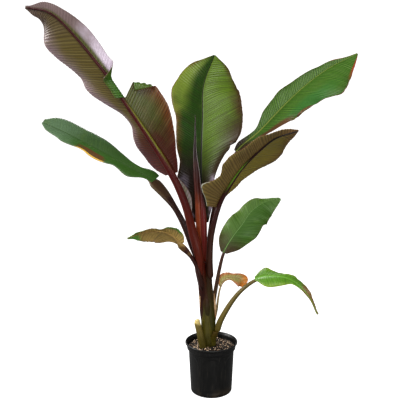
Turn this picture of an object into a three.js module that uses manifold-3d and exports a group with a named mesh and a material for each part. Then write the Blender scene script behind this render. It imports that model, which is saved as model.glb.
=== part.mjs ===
// Potted abyssinian banana: nursery pot, soil, pseudostem, nine leaves, rolled spear and cut stub.
// Millimetres, +Z up, origin at the centre of the pot's underside, front of the plant towards -Y.
import * as THREE from 'three';
import { mergeVertices } from 'three/addons/utils/BufferGeometryUtils.js';
import Module from 'manifold-3d';

// Clearance between neighbouring pieces, steps round a turned piece and the reach that welds its corners.
const GAP = 0.4;
const ROUND = 36;
const WELD = 1e-4;
const TURNED_WELD = 1e-3;

// Pot: outside and inside outlines as radius, height.
const POT_OUTSIDE = [[90, 0], [92.6, 3], [102, 196], [108.5, 199], [110, 220], [116, 222], [117.5, 225]];
const POT_LIP = [[117.5, 228], [116, 230], [113.5, 230], [112, 227]];
const POT_INSIDE = [[107.5, 219], [106, 201], [99.6, 197.5], [90.2, 3]];
const POT_FLOOR = 3;
const DRAIN = { count: 8, width: 16, height: 10, depth: 16, lift: 3.2 };

// Soil: radius, height from the middle of the top outwards, then the heights at the pot's wall.
const SOIL_TOP = [[0, 212], [60, 211], [98, 206]];
const SOIL_EDGE = { top: 205, bottom: POT_FLOOR };

// Pseudostem: centre x, y, z, half width and half depth.
const STEM = [
  [-10, 2, 120, 26, 26],
  [-12, 2, 200, 33, 33],
  [-14, 0, 260, 33, 32],
  [-18, 0, 360, 31, 30],
  [-24, 0, 470, 30, 28],
  [-33, 0, 560, 27, 25],
  [-36, 0, 620, 20, 18],
  [-38, 0, 660, 9, 8],
];
const STEM_SIDES = 16;

// Stalks: rounder below than above, and ending just short of the tip.
const STALK_SIDES = 8;
const STALK_STEPS = 3;
const STALK_END = 0.995;
const STALK_ROUND = { above: 0.9, below: 1.1 };

// Blades: seat is the share of the stalk's half width that a blade starts from.
const BLADE_ROWS = 12;
const BLADE_COLUMNS = 4;
const BLADE_THICK = 1.2;
const BLADE_SEAT = 0.93;
const BLADE_LEAST = 2.5;

// Leaves. petiole and midrib: points along the stalk, the petiole's last being the midrib's first.
// up: which way the upper side faces at the base and at the tip. stalk: half widths at foot, blade and tip.
// left and right: half-blade widths evenly spaced from base to tip, and fold angles close in and at the
// margin, in degrees above flat, at the base and at the tip.
const LEAVES = [
  {
    name: 'leaf_1',
    petiole: [[-35, -30, 500], [-45, -45, 625], [-75, -60, 755], [-105, -90, 875], [-155, -120, 995]],
    midrib: [
      [-235, -170, 1130], [-320, -230, 1265], [-410, -295, 1405], [-545, -358, 1562], [-645, -375, 1592],
    ],
    up: [[0.3, 0.85, 0.35], [0, 0.95, 0.3]],
    stalk: [20, 15, 3],
    left: { width: [20, 60, 102, 132, 114, 60, 42, 62, 50, 38, 8], fold: [[20, -6], [80, 60]] },
    right: { width: [44, 90, 82, 56, 66, 106, 112, 114, 92, 38, 8], fold: [[18, -4], [10, -14]] },
  },
  {
    name: 'leaf_2',
    petiole: [[-20, 10, 575], [-25, 20, 635], [-30, 28, 690], [-35, 30, 730], [-38, 30, 765]],
    midrib: [[-45, 50, 915], [-45, 90, 1065], [-40, 140, 1220], [-35, 190, 1370], [15, 240, 1510]],
    up: [[0, -0.95, 0.3], [0, -0.95, 0.3]],
    stalk: [13, 12, 3],
    left: { width: [30, 90, 116, 102, 110, 118, 124, 140, 123, 84, 6], fold: [[16, -2], [14, -6]] },
    right: { width: [25, 44, 54, 74, 112, 168, 180, 173, 158, 110, 10], fold: [[16, 0], [14, 0]] },
  },
  {
    name: 'leaf_3',
    petiole: [[-20, 12, 585], [-12, 24, 700], [10, 42, 830], [55, 74, 960], [112, 110, 1075]],
    midrib: [[220, 170, 1165], [325, 220, 1270], [435, 270, 1370], [560, 310, 1460], [700, 340, 1530]],
    up: [[-0.3, -0.7, 0.6], [-0.3, -0.7, 0.6]],
    stalk: [12, 9, 2.5],
    left: { width: [14, 27, 28, 56, 64, 72, 62, 54, 40, 18, 5], fold: [[50, 36], [55, 40]] },
    right: { width: [26, 22, 28, 52, 100, 130, 136, 160, 142, 84, 8], fold: [[10, -8], [8, -10]] },
  },
  {
    name: 'leaf_4',
    petiole: [[-12, -24, 520], [-15, -42, 625], [-10, -52, 710], [5, -65, 790], [30, -80, 870]],
    midrib: [[70, -110, 945], [120, -140, 1020], [180, -175, 1085], [245, -210, 1140], [330, -240, 1170]],
    up: [[-0.4, 0.65, 0.6], [-0.4, 0.65, 0.6]],
    stalk: [15, 10, 2.5],
    left: { width: [16, 22, 38, 54, 86, 112, 128, 128, 102, 56, 6], fold: [[10, -6], [10, -6]] },
    right: { width: [54, 88, 110, 88, 94, 84, 72, 58, 42, 26, 5], fold: [[12, 0], [12, 0]] },
  },
  {
    name: 'leaf_5',
    petiole: [[-48, -20, 555], [-76, -30, 675], [-120, -32, 788], [-175, -22, 878], [-247, -6, 955]],
    midrib: [[-335, 25, 1005], [-435, 50, 1055], [-540, 75, 1105], [-640, 95, 1155], [-750, 110, 1205]],
    up: [[0.15, -0.55, 0.8], [0.15, -0.55, 0.8]],
    stalk: [16, 10, 2],
    left: { width: [16, 28, 54, 48, 50, 54, 48, 50, 52, 44, 10], fold: [[0, -20], [0, -20]] },
    right: { width: [34, 36, 26, 34, 50, 62, 68, 70, 68, 64, 24], fold: [[16, 6], [16, 6]] },
  },
  {
    name: 'leaf_6',
    petiole: [[-38, -30, 470], [-48, -42, 545], [-65, -50, 600], [-95, -65, 650], [-130, -80, 690]],
    midrib: [[-160, -95, 730], [-200, -120, 755], [-245, -150, 760], [-295, -170, 755], [-340, -190, 740]],
    up: [[0.1, 0.92, 0.35], [0.1, 0.92, 0.35]],
    stalk: [12, 7, 2],
    left: { width: [18, 34, 42, 52, 36, 16, 28, 40, 34, 24, 4], fold: [[10, 0], [-40, -90]] },
    right: { width: [8, 28, 62, 76, 74, 65, 56, 56, 46, 18, 5], fold: [[10, 0], [10, 0]] },
  },
  {
    name: 'leaf_7',
    petiole: [[0, 24, 300], [8, 38, 400], [20, 48, 475], [35, 58, 550], [55, 70, 620]],
    midrib: [[95, 90, 685], [140, 110, 740], [185, 130, 800], [245, 140, 840], [320, 150, 855]],
    up: [[-0.3, -0.85, 0.4], [-0.3, -0.85, 0.4]],
    stalk: [11, 7, 2],
    left: { width: [14, 46, 64, 70, 62, 58, 48, 38, 24, 14, 4], fold: [[12, 0], [12, 0]] },
    right: { width: [18, 58, 82, 90, 92, 95, 97, 93, 76, 50, 6], fold: [[12, 0], [12, 0]] },
  },
  {
    name: 'leaf_8',
    petiole: [[16, -22, 250], [38, -44, 345], [72, -70, 425], [118, -97, 495], [182, -120, 550]],
    midrib: [[240, -145, 570], [305, -170, 570], [360, -185, 540], [405, -190, 485], [435, -190, 420]],
    up: [[0.1, -0.5, 0.85], [0.1, -0.5, 0.85]],
    stalk: [15, 7, 2],
    left: { width: [14, 50, 40, 34, 24, 29, 23, 12, 8, 12, 4], fold: [[5, -10], [5, -20]] },
    right: { width: [8, 38, 54, 52, 40, 18, 12, 9, 6, 5, 3], fold: [[5, -40], [5, -40]] },
  },
  {
    name: 'leaf_9',
    petiole: [[2, 30, 260], [14, 42, 315], [25, 50, 365], [32, 60, 415], [42, 70, 460]],
    midrib: [[60, 75, 490], [85, 85, 500], [120, 95, 495], [145, 100, 480], [155, 100, 450]],
    up: [[0, -0.6, 0.8], [0, -0.6, 0.8]],
    stalk: [7, 4, 1.5],
    left: { width: [8, 20, 32, 35, 26, 22, 23, 29, 32, 16, 4], fold: [[10, 0], [10, 0]] },
    right: { width: [5, 6, 9, 13, 20, 34, 46, 46, 40, 30, 8], fold: [[10, -10], [10, -10]] },
  },
];

// Rolled leaves and the stub: centre x, y, z and radius.
const SPEAR = [
  [-37, 2, 680, 13],
  [-46, 0, 760, 16],
  [-54, 0, 880, 17],
  [-64, 2, 980, 13],
  [-71, 4, 1070, 6],
  [-70, 6, 1160, 3.5],
  [-69, 8, 1238, 1.5],
];
const YOUNG_SHEATH = [
  [-30, -22, 640, 9],
  [-33, -24, 740, 13],
  [-38, -24, 830, 13],
  [-43, -22, 890, 6],
  [-45, -22, 930, 1.5],
];
const STUB = [
  [-38, -24, 196, 12],
  [-46, -30, 250, 13],
  [-54, -33, 300, 13],
  [-59, -34, 325, 11],
  [-61, -35, 335, 6],
];
const ROD_SIDES = 10;

// Stalks in the order they wrap the stem, the first lying against it.
const WRAPPING = ['leaf_1', 'leaf_4', 'leaf_5', 'leaf_3', 'leaf_2', 'leaf_6', 'leaf_8', 'leaf_7', 'leaf_9'];

const FINISHES = {
  pot: { color: 0x1c1c1d, roughness: 0.45 },
  soil: { color: 0x2a211b, roughness: 0.9 },
  stem: { color: 0x5b5a2c, roughness: 0.5 },
  stalk: { color: 0x5a2620, roughness: 0.5 },
  blade: { color: 0x54803a, roughness: 0.45 },
  spear: { color: 0x6a3328, roughness: 0.45 },
  stub: { color: 0xa09a58, roughness: 0.6 },
};

const wasm = await Module();
wasm.setup();

// One triangle mesh from loose triangles, facing outwards.
function geometryOf(points, triangles) {
  const flat = [];
  for (const triangle of triangles) {
    for (const index of triangle) flat.push(...points[index].toArray());
  }
  const geometry = new THREE.BufferGeometry();
  geometry.setAttribute('position', new THREE.Float32BufferAttribute(flat, 3));
  const merged = mergeVertices(geometry, WELD);
  faceOutward(merged);
  return merged;
}

function faceOutward(geometry) {
  if (signedVolume(geometry) >= 0) return;
  const index = geometry.index.array;
  for (let i = 0; i < index.length; i += 3) [index[i], index[i + 1]] = [index[i + 1], index[i]];
}

function signedVolume(geometry) {
  const place = geometry.attributes.position;
  const index = geometry.index.array;
  const [a, b, c] = [new THREE.Vector3(), new THREE.Vector3(), new THREE.Vector3()];
  let sum = 0;
  for (let i = 0; i < index.length; i += 3) {
    a.fromBufferAttribute(place, index[i]);
    b.fromBufferAttribute(place, index[i + 1]);
    c.fromBufferAttribute(place, index[i + 2]);
    sum += a.dot(b.cross(c));
  }
  return sum / 6;
}

// Triangles round a run of rings with the same number of points.
function sideTriangles(rings) {
  const sides = rings[0].length;
  const triangles = [];
  for (let r = 0; r < rings.length - 1; r += 1) {
    for (let s = 0; s < sides; s += 1) {
      const [a, b] = [r * sides + s, r * sides + ((s + 1) % sides)];
      triangles.push([a, b, b + sides], [a, b + sides, a + sides]);
    }
  }
  return triangles;
}

// Solid through a run of rings, closed by a fan at each end.
function loft(rings) {
  const sides = rings[0].length;
  const points = rings.flat();
  const triangles = sideTriangles(rings);
  for (const [start, flip] of [[0, true], [(rings.length - 1) * sides, false]]) {
    const middle = new THREE.Vector3();
    for (let s = 0; s < sides; s += 1) middle.add(points[start + s]);
    points.push(middle.divideScalar(sides));
    for (let s = 0; s < sides; s += 1) {
      const [a, b] = [start + s, start + ((s + 1) % sides)];
      triangles.push(flip ? [b, a, points.length - 1] : [a, b, points.length - 1]);
    }
  }
  return geometryOf(points, triangles);
}

function toManifold(geometry) {
  const mesh = new wasm.Mesh({
    numProp: 3,
    vertProperties: new Float32Array(geometry.attributes.position.array),
    triVerts: new Uint32Array(geometry.index.array),
  });
  mesh.merge();
  return new wasm.Manifold(mesh);
}

function fromManifold(solid) {
  const mesh = solid.getMesh();
  const geometry = new THREE.BufferGeometry();
  const places = [];
  for (let i = 0; i < mesh.vertProperties.length; i += mesh.numProp) {
    places.push(mesh.vertProperties[i], mesh.vertProperties[i + 1], mesh.vertProperties[i + 2]);
  }
  geometry.setAttribute('position', new THREE.Float32BufferAttribute(places, 3));
  geometry.setIndex(Array.from(mesh.triVerts));
  return geometry;
}

// What is left of a solid after its neighbours are taken out, without loose scraps.
function carve(solid, neighbours) {
  let left = solid;
  for (const neighbour of neighbours) left = left.subtract(neighbour);
  const pieces = left.decompose();
  pieces.sort((a, b) => b.volume() - a.volume());
  return pieces[0];
}

// Round upright rods given by centre and radii.
function rod(rows, sides, grow) {
  return loft(rows.map(([x, y, z, wide, deep = wide], row) => {
    const end = row === 0 ? -grow : row === rows.length - 1 ? grow : 0;
    return Array.from({ length: sides }, (_, s) => {
      const turn = (s / sides) * Math.PI * 2;
      return new THREE.Vector3(
        x + (wide + grow) * Math.cos(turn),
        y + (deep + grow) * Math.sin(turn),
        z + end,
      );
    });
  }));
}

// Solid turned about the upright axis from an outline of radius and height.
function lathe(profile) {
  const outline = [...profile, profile[0]].map(([r, z]) => new THREE.Vector2(r, z));
  const geometry = new THREE.LatheGeometry(outline, ROUND).rotateX(Math.PI / 2);
  geometry.deleteAttribute('normal');
  geometry.deleteAttribute('uv');
  const merged = mergeVertices(geometry, TURNED_WELD);
  const index = [];
  const old = merged.index.array;
  for (let i = 0; i < old.length; i += 3) {
    const [a, b, c] = [old[i], old[i + 1], old[i + 2]];
    if (a !== b && b !== c && a !== c) index.push(a, b, c);
  }
  merged.setIndex(index);
  faceOutward(merged);
  return merged;
}

function makePot() {
  let pot = toManifold(lathe([[0, 0], ...POT_OUTSIDE, ...POT_LIP, ...POT_INSIDE, [0, POT_FLOOR]]));
  for (let k = 0; k < DRAIN.count; k += 1) {
    const cutter = new THREE.BoxGeometry(DRAIN.depth, DRAIN.width, DRAIN.height);
    cutter.translate(POT_OUTSIDE[1][0], 0, DRAIN.height / 2 + DRAIN.lift);
    cutter.rotateZ(((k + 0.5) / DRAIN.count) * Math.PI * 2);
    cutter.deleteAttribute('normal');
    cutter.deleteAttribute('uv');
    pot = pot.subtract(toManifold(mergeVertices(cutter, WELD)));
  }
  return pot;
}

function makeSoil() {
  const wall = POT_INSIDE.map(([r, z]) => [r - GAP, z]);
  const low = SOIL_EDGE.bottom + GAP;
  wall[wall.length - 1][1] = low;
  const reach = (SOIL_EDGE.top - POT_INSIDE[1][1]) / (POT_INSIDE[0][1] - POT_INSIDE[1][1]);
  const rim = POT_INSIDE[1][0] + reach * (POT_INSIDE[0][0] - POT_INSIDE[1][0]) - GAP;
  return toManifold(lathe([...SOIL_TOP, [rim, SOIL_EDGE.top], ...wall.slice(1), [0, low]]));
}

function leafCurve(leaf) {
  const points = [...leaf.petiole, ...leaf.midrib].map((p) => new THREE.Vector3(...p));
  return new THREE.CatmullRomCurve3(points, false, 'catmullrom', 0.5);
}

// Value at a share of a list of evenly spaced values.
function blend(list, t) {
  const place = Math.min(Math.max(t, 0), 1) * (list.length - 1);
  const low = Math.min(Math.floor(place), list.length - 2);
  return list[low] + (list[low + 1] - list[low]) * (place - low);
}

// Share of the whole stalk at which the blade begins.
function bladeStart(leaf) {
  const spans = leaf.petiole.length + leaf.midrib.length - 1;
  return (leaf.petiole.length - 1) / spans;
}

// Place and directions at a share of the stalk: along it, up from the upper side, and to the right.
function leafFrame(leaf, curve, share) {
  const along = curve.getTangent(share);
  const t = Math.max(0, (share - bladeStart(leaf)) / (1 - bladeStart(leaf)));
  const facing = new THREE.Vector3(...leaf.up[0]).lerp(new THREE.Vector3(...leaf.up[1]), t);
  const up = facing.addScaledVector(along, -facing.dot(along)).normalize();
  return { place: curve.getPoint(share), along, up, right: new THREE.Vector3().crossVectors(along, up) };
}

// Half width of the stalk at a share of its length.
function stalkHalf(leaf, share) {
  const start = bladeStart(leaf);
  const [foot, blade, tip] = leaf.stalk;
  if (share < start) return foot + (blade - foot) * (share / start);
  return blade + (tip - blade) * ((share - start) / (1 - start));
}

// Stalk: rounded below, nearly flat above, hanging under the line of the leaf.
function stalkRings(leaf, grow) {
  const curve = leafCurve(leaf);
  const steps = (leaf.petiole.length + leaf.midrib.length - 1) * STALK_STEPS;
  const rings = [];
  for (let k = 0; k <= steps; k += 1) {
    const share = (k / steps) * STALK_END;
    const { place, up, right } = leafFrame(leaf, curve, share);
    const half = stalkHalf(leaf, share);
    const middle = place.clone().addScaledVector(up, -half);
    rings.push(Array.from({ length: STALK_SIDES }, (_, s) => {
      const turn = ((s + 0.5) / STALK_SIDES) * Math.PI * 2;
      const high = Math.sin(turn) > 0 ? STALK_ROUND.above : STALK_ROUND.below;
      return middle.clone()
        .addScaledVector(right, (half + grow) * Math.cos(turn))
        .addScaledVector(up, (half * high + grow) * Math.sin(turn));
    }));
  }
  return rings;
}

// One row across a blade: flat over the midrib and folded on either side of it.
function bladeRow(leaf, curve, t) {
  const start = bladeStart(leaf);
  const share = start + (1 - start) * t;
  const { place, up, right } = leafFrame(leaf, curve, share);
  const rib = stalkHalf(leaf, share) * BLADE_SEAT + GAP;
  const line = [];
  for (const [half, way] of [[leaf.left, -1], [leaf.right, 1]]) {
    const width = Math.max(blend(half.width, t) - rib, BLADE_LEAST);
    const near = half.fold[0][0] + (half.fold[1][0] - half.fold[0][0]) * t;
    const far = half.fold[0][1] + (half.fold[1][1] - half.fold[0][1]) * t;
    const spot = place.clone().addScaledVector(up, BLADE_THICK / 2 + GAP).addScaledVector(right, way * rib);
    const run = [{ spot: spot.clone(), angle: 0 }];
    for (let c = 0; c < BLADE_COLUMNS; c += 1) {
      const angle = THREE.MathUtils.degToRad(near + ((far - near) * (c + 0.5)) / BLADE_COLUMNS);
      spot.addScaledVector(right, (way * Math.cos(angle) * width) / BLADE_COLUMNS);
      spot.addScaledVector(up, (Math.sin(angle) * width) / BLADE_COLUMNS);
      run.push({ spot: spot.clone(), angle });
    }
    const leaned = run.map((item) => ({
      spot: item.spot,
      normal: up.clone().multiplyScalar(Math.cos(item.angle))
        .addScaledVector(right, -way * Math.sin(item.angle)),
    }));
    line.push(...(way < 0 ? leaned.reverse() : leaned));
  }
  return line;
}

// Blade: one thin closed sheet.
function bladeGeometry(leaf) {
  const curve = leafCurve(leaf);
  const rings = [];
  for (let k = 0; k <= BLADE_ROWS; k += 1) {
    const line = bladeRow(leaf, curve, k / BLADE_ROWS);
    const lift = (side) => line.map(({ spot, normal }) => spot.clone().addScaledVector(normal, side));
    rings.push([...lift(BLADE_THICK / 2), ...lift(-BLADE_THICK / 2).reverse()]);
  }
  return sheet(rings);
}

// Solid through flat rings, whose ends are closed in strips across the sheet's thickness.
function sheet(rings) {
  const sides = rings[0].length;
  const points = rings.flat();
  const triangles = sideTriangles(rings);
  for (const [start, flip] of [[0, true], [(rings.length - 1) * sides, false]]) {
    for (let s = 0; s < sides / 2 - 1; s += 1) {
      const [a, b] = [start + s, start + s + 1];
      const [c, d] = [start + sides - 2 - s, start + sides - 1 - s];
      const pair = [[a, b, c], [a, c, d]];
      triangles.push(...pair.map(([p, q, r]) => (flip ? [r, q, p] : [p, q, r])));
    }
  }
  return geometryOf(points, triangles);
}

const group = new THREE.Group();
group.name = 'potted_abyssinian_banana';

function addPart(name, solid, finish) {
  const material = new THREE.MeshStandardMaterial({ ...finish, metalness: 0 });
  material.name = name;
  const mesh = new THREE.Mesh(fromManifold(solid), material);
  mesh.name = name;
  group.add(mesh);
}

const wrapped = [toManifold(rod(STEM, STEM_SIDES, GAP))];

addPart('pot', makePot(), FINISHES.pot);
addPart('pseudostem', toManifold(rod(STEM, STEM_SIDES, 0)), FINISHES.stem);

// Each stalk is nested against the stem and the stalks already placed.
for (const name of WRAPPING) {
  const leaf = LEAVES.find((item) => item.name === name);
  addPart(`${name}_stalk`, carve(toManifold(loft(stalkRings(leaf, 0))), wrapped), FINISHES.stalk);
  wrapped.push(toManifold(loft(stalkRings(leaf, GAP))));
}

const rods = [
  ['spear', SPEAR, FINISHES.spear],
  ['young_sheath', YOUNG_SHEATH, FINISHES.spear],
  ['stub', STUB, FINISHES.stub],
];
for (const [name, rows, finish] of rods) {
  addPart(name, carve(toManifold(rod(rows, ROD_SIDES, 0)), wrapped), finish);
  wrapped.push(toManifold(rod(rows, ROD_SIDES, GAP)));
}
addPart('soil', carve(makeSoil(), wrapped), FINISHES.soil);

for (const leaf of LEAVES) {
  addPart(`${leaf.name}_blade`, toManifold(bladeGeometry(leaf)), FINISHES.blade);
}

export default group;
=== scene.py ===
import math
import random
import bpy
import numpy as np
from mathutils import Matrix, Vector, noise


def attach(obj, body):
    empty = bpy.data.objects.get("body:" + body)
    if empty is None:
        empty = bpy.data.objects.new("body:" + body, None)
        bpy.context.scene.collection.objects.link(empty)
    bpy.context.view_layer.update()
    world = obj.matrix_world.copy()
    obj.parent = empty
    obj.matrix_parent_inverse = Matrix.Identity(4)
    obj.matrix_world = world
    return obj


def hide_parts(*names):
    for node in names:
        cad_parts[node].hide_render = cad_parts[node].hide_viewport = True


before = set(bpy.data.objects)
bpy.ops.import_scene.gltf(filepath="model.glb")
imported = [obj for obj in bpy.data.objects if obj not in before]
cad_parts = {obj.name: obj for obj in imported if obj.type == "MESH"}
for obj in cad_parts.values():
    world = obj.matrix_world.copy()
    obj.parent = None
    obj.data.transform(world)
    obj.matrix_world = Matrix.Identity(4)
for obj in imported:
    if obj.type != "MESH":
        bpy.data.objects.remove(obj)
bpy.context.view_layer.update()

scene = bpy.context.scene
bpy.ops.object.select_all(action='DESELECT')


def tone(red, green, blue):  # a screen colour from 0 to 255 as a light value
    out = []
    for c in (red, green, blue):
        c = c / 255
        out.append(c / 12.92 if c <= 0.04045 else ((c + 0.055) / 1.055) ** 2.4)
    return (*out, 1.0)


def only(piece):
    bpy.ops.object.select_all(action='DESELECT')
    piece.select_set(True)
    bpy.context.view_layer.objects.active = piece


def applyAll(piece):
    only(piece)
    for modifier in list(piece.modifiers):
        bpy.ops.object.modifier_apply(modifier=modifier.name)


def smoothStep(low, high, x):
    x = np.clip((x - low) / (high - low), 0, 1)
    return x * x * (3 - 2 * x)


def curveThrough(points, share):  # smooth curve through evenly counted points
    points = np.asarray(points, float)
    if points.ndim == 1:
        points = points[:, None]
    spans = len(points) - 1
    padded = np.vstack([2 * points[0] - points[1], points, 2 * points[-1] - points[-2]])
    f = np.clip(np.asarray(share, float), 0, 1) * spans
    i = np.minimum(f.astype(int), spans - 1)
    u = (f - i)[:, None]
    p0, p1, p2, p3 = padded[i], padded[i + 1], padded[i + 2], padded[i + 3]
    a, b = (p2 - p0) / 2, (p3 - p1) / 2
    return ((2 * u**3 - 3 * u**2 + 1) * p1 + (u**3 - 2 * u**2 + u) * a
            + (3 * u**2 - 2 * u**3) * p2 + (u**3 - u**2) * b)


def wobble(x, seed, octaves=3):  # soft uneven waves, the same every run
    total = np.zeros_like(x, float)
    draw = random.Random(seed)
    for k in range(octaves):
        total += np.sin(x * (2.3 ** k) * draw.uniform(0.8, 1.25) + draw.uniform(0, 6.3)) / (1.6 ** k)
    return total / 2


def addGrid(name, along, across):  # a flat grid, with its shares along and across
    bpy.ops.object.select_all(action='DESELECT')
    bpy.ops.mesh.primitive_grid_add(x_subdivisions=along, y_subdivisions=across, size=2, calc_uvs=True)
    piece = bpy.context.object
    piece.name = piece.data.name = name
    flat = np.empty(len(piece.data.vertices) * 3)
    piece.data.vertices.foreach_get('co', flat)
    flat = flat.reshape(-1, 3)
    return piece, (flat[:, 0] + 1) / 2, flat[:, 1]


def place(piece, spots):
    piece.data.vertices.foreach_set('co', np.ascontiguousarray(spots, float).ravel())
    piece.data.update()


def mapOver(piece, u, v):  # lays the piece's own map out in metres
    loops = np.empty(len(piece.data.loops), int)
    piece.data.loops.foreach_get('vertex_index', loops)
    flat = np.stack([u[loops], v[loops]], 1)
    piece.data.uv_layers[0].name = 'lay'
    piece.data.uv_layers[0].data.foreach_set('uv', flat.ravel())


def mapRound(piece, u, aroundLength):  # the same round a rod, whose grid keeps its seam
    layer = piece.data.uv_layers[0]
    layer.name = 'lay'
    flat = np.empty(len(piece.data.loops) * 2)
    layer.data.foreach_get('uv', flat)
    loops = np.empty(len(piece.data.loops), int)
    piece.data.loops.foreach_get('vertex_index', loops)
    flat = flat.reshape(-1, 2)
    flat[:, 0] = u[loops]
    flat[:, 1] *= aroundLength
    layer.data.foreach_set('uv', flat.ravel())


def stain(piece, name, red, green, blue, alpha=1.0):  # a colour attribute that materials read
    layer = piece.data.color_attributes.new(name, 'FLOAT_COLOR', 'POINT')
    flat = np.ones((len(red), 4))
    flat[:, 0], flat[:, 1], flat[:, 2], flat[:, 3] = red, green, blue, alpha
    layer.data.foreach_set('color', flat.ravel())


def sealSeam(piece, reach=0.00002):
    only(piece)
    bpy.ops.object.mode_set(mode='EDIT')
    bpy.ops.mesh.select_all(action='SELECT')
    bpy.ops.mesh.remove_doubles(threshold=reach)
    bpy.ops.mesh.normals_make_consistent(inside=False)
    bpy.ops.mesh.select_all(action='DESELECT')
    bpy.ops.object.mode_set(mode='OBJECT')


def finishPiece(piece, slot, nodes, material):
    piece.data.materials.clear()
    piece.data.materials.append(material)
    settle(piece, slot, nodes)


def settle(piece, slot, nodes):  # smooths a piece and ties it to the frame
    only(piece)
    bpy.ops.object.shade_smooth()
    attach(piece, 'root')
    if nodes:
        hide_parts(*nodes)
    bpy.ops.object.select_all(action='DESELECT')


view = {'at': (-0.015, -2.31, 1.18), 'dip': 8.5, 'lens': 46.5}
bpy.ops.object.camera_add(location=view['at'], rotation=(math.radians(90 - view['dip']), 0, 0))
camera = bpy.context.object
camera.data.lens = view['lens']
camera.data.sensor_width = 36
scene.camera = camera
scene.view_settings.view_transform = 'Standard'
scene.view_settings.look = 'Medium High Contrast'

studio = {'air': 0.24, 'floor': tone(120, 120, 120), 'floorGlow': 0.97}
world = bpy.data.worlds.new('paleStudio')
world.use_nodes = True
air = world.node_tree.nodes['Background']
air.inputs['Color'].default_value = (1, 1, 1, 1)
rays = world.node_tree.nodes.new('ShaderNodeLightPath')
# soft light on the plant, a paler backdrop behind it
airShare = world.node_tree.nodes.new('ShaderNodeMapRange')
airShare.inputs['To Min'].default_value = studio['air']
airShare.inputs['To Max'].default_value = 1.0
world.node_tree.links.new(rays.outputs['Is Camera Ray'], airShare.inputs['Value'])
world.node_tree.links.new(airShare.outputs[0], air.inputs['Strength'])
scene.world = world


def softLight(name, spot, aim, size, power):
    bpy.ops.object.light_add(type='AREA', location=spot)
    lamp = bpy.context.object
    lamp.name = name
    lamp.data.size = size
    lamp.data.energy = power
    lamp.rotation_euler = (Vector(aim) - Vector(spot)).to_track_quat('-Z', 'Y').to_euler()


lamps = [  # name, place, what it points at, size and power
    ('keyLight', (-1.0, -2.6, 3.0), (0, 0, 0.9), 1.4, 72),
    ('frontLight', (0.7, -3.1, 0.8), (0, 0, 1.0), 1.8, 42),
    ('leftLight', (-2.9, -0.2, 1.7), (0, 0, 1.0), 1.5, 90),
    ('rightLight', (2.9, -1.2, 2.1), (0.1, 0, 0.9), 1.6, 30),
    ('backLight', (-0.9, 2.6, 2.9), (0, 0, 1.1), 1.6, 85),
]
for name, spot, aim, size, power in lamps:
    softLight(name, spot, aim, size, power)

bpy.ops.mesh.primitive_circle_add(vertices=96, radius=14, fill_type='NGON', location=(0, 0, -0.0005))
floor = bpy.context.object
floor.name = 'studioFloor'
floorFinish = bpy.data.materials.new('paleFloor')
floorFinish.use_nodes = True
floorShader = floorFinish.node_tree.nodes['Principled BSDF']
floorShader.inputs['Base Color'].default_value = studio['floor']
floorShader.inputs['Roughness'].default_value = 0.8
floorShader.inputs['Emission Color'].default_value = (1, 1, 1, 1)
floorRays = floorFinish.node_tree.nodes.new('ShaderNodeLightPath')
floorGlow = floorFinish.node_tree.nodes.new('ShaderNodeMath')
floorGlow.operation = 'MULTIPLY'
floorGlow.inputs[1].default_value = studio['floorGlow']
floorFinish.node_tree.links.new(floorRays.outputs['Is Camera Ray'], floorGlow.inputs[0])
floorFinish.node_tree.links.new(floorGlow.outputs[0], floorShader.inputs['Emission Strength'])
floor.data.materials.append(floorFinish)
print('stage: studio set')


def link(tree, value, socket):
    if isinstance(value, (int, float, tuple)):
        socket.default_value = value
    else:
        tree.links.new(value, socket)


def mathOf(tree, operation, a, b=0.0, clamp=False):
    node = tree.nodes.new('ShaderNodeMath')
    node.operation = operation
    node.use_clamp = clamp
    link(tree, a, node.inputs[0])
    link(tree, b, node.inputs[1])
    return node.outputs[0]


def rangeOf(tree, value, low, high, toLow=0.0, toHigh=1.0):
    node = tree.nodes.new('ShaderNodeMapRange')
    node.interpolation_type = 'SMOOTHSTEP'
    for socket, item in zip(node.inputs[:5], (value, low, high, toLow, toHigh)):
        link(tree, item, socket)
    return node.outputs[0]


def mixOf(tree, share, first, second, way='MIX'):
    node = tree.nodes.new('ShaderNodeMix')
    node.data_type = 'RGBA'
    node.blend_type = way
    node.clamp_factor = True
    link(tree, share, node.inputs[0])
    link(tree, first, node.inputs[6])
    link(tree, second, node.inputs[7])
    return node.outputs[2]


def noiseOf(tree, vector, scale, detail=3.0, rough=0.55):
    node = tree.nodes.new('ShaderNodeTexNoise')
    link(tree, vector, node.inputs['Vector'])
    node.inputs['Scale'].default_value = scale
    node.inputs['Detail'].default_value = detail
    node.inputs['Roughness'].default_value = rough
    return node.outputs[0]


def stretched(tree, vector, scale):
    node = tree.nodes.new('ShaderNodeMapping')
    link(tree, vector, node.inputs['Vector'])
    node.inputs['Scale'].default_value = scale
    return node.outputs[0]


def startGroup(name, ins, outs):
    group = bpy.data.node_groups.new(name, 'ShaderNodeTree')
    for title, kind, value in ins:
        socket = group.interface.new_socket(title, in_out='INPUT', socket_type=kind)
        if value is not None:
            socket.default_value = value
    for title, kind in outs:
        group.interface.new_socket(title, in_out='OUTPUT', socket_type=kind)
    return group, group.nodes.new('NodeGroupInput'), group.nodes.new('NodeGroupOutput')


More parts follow.
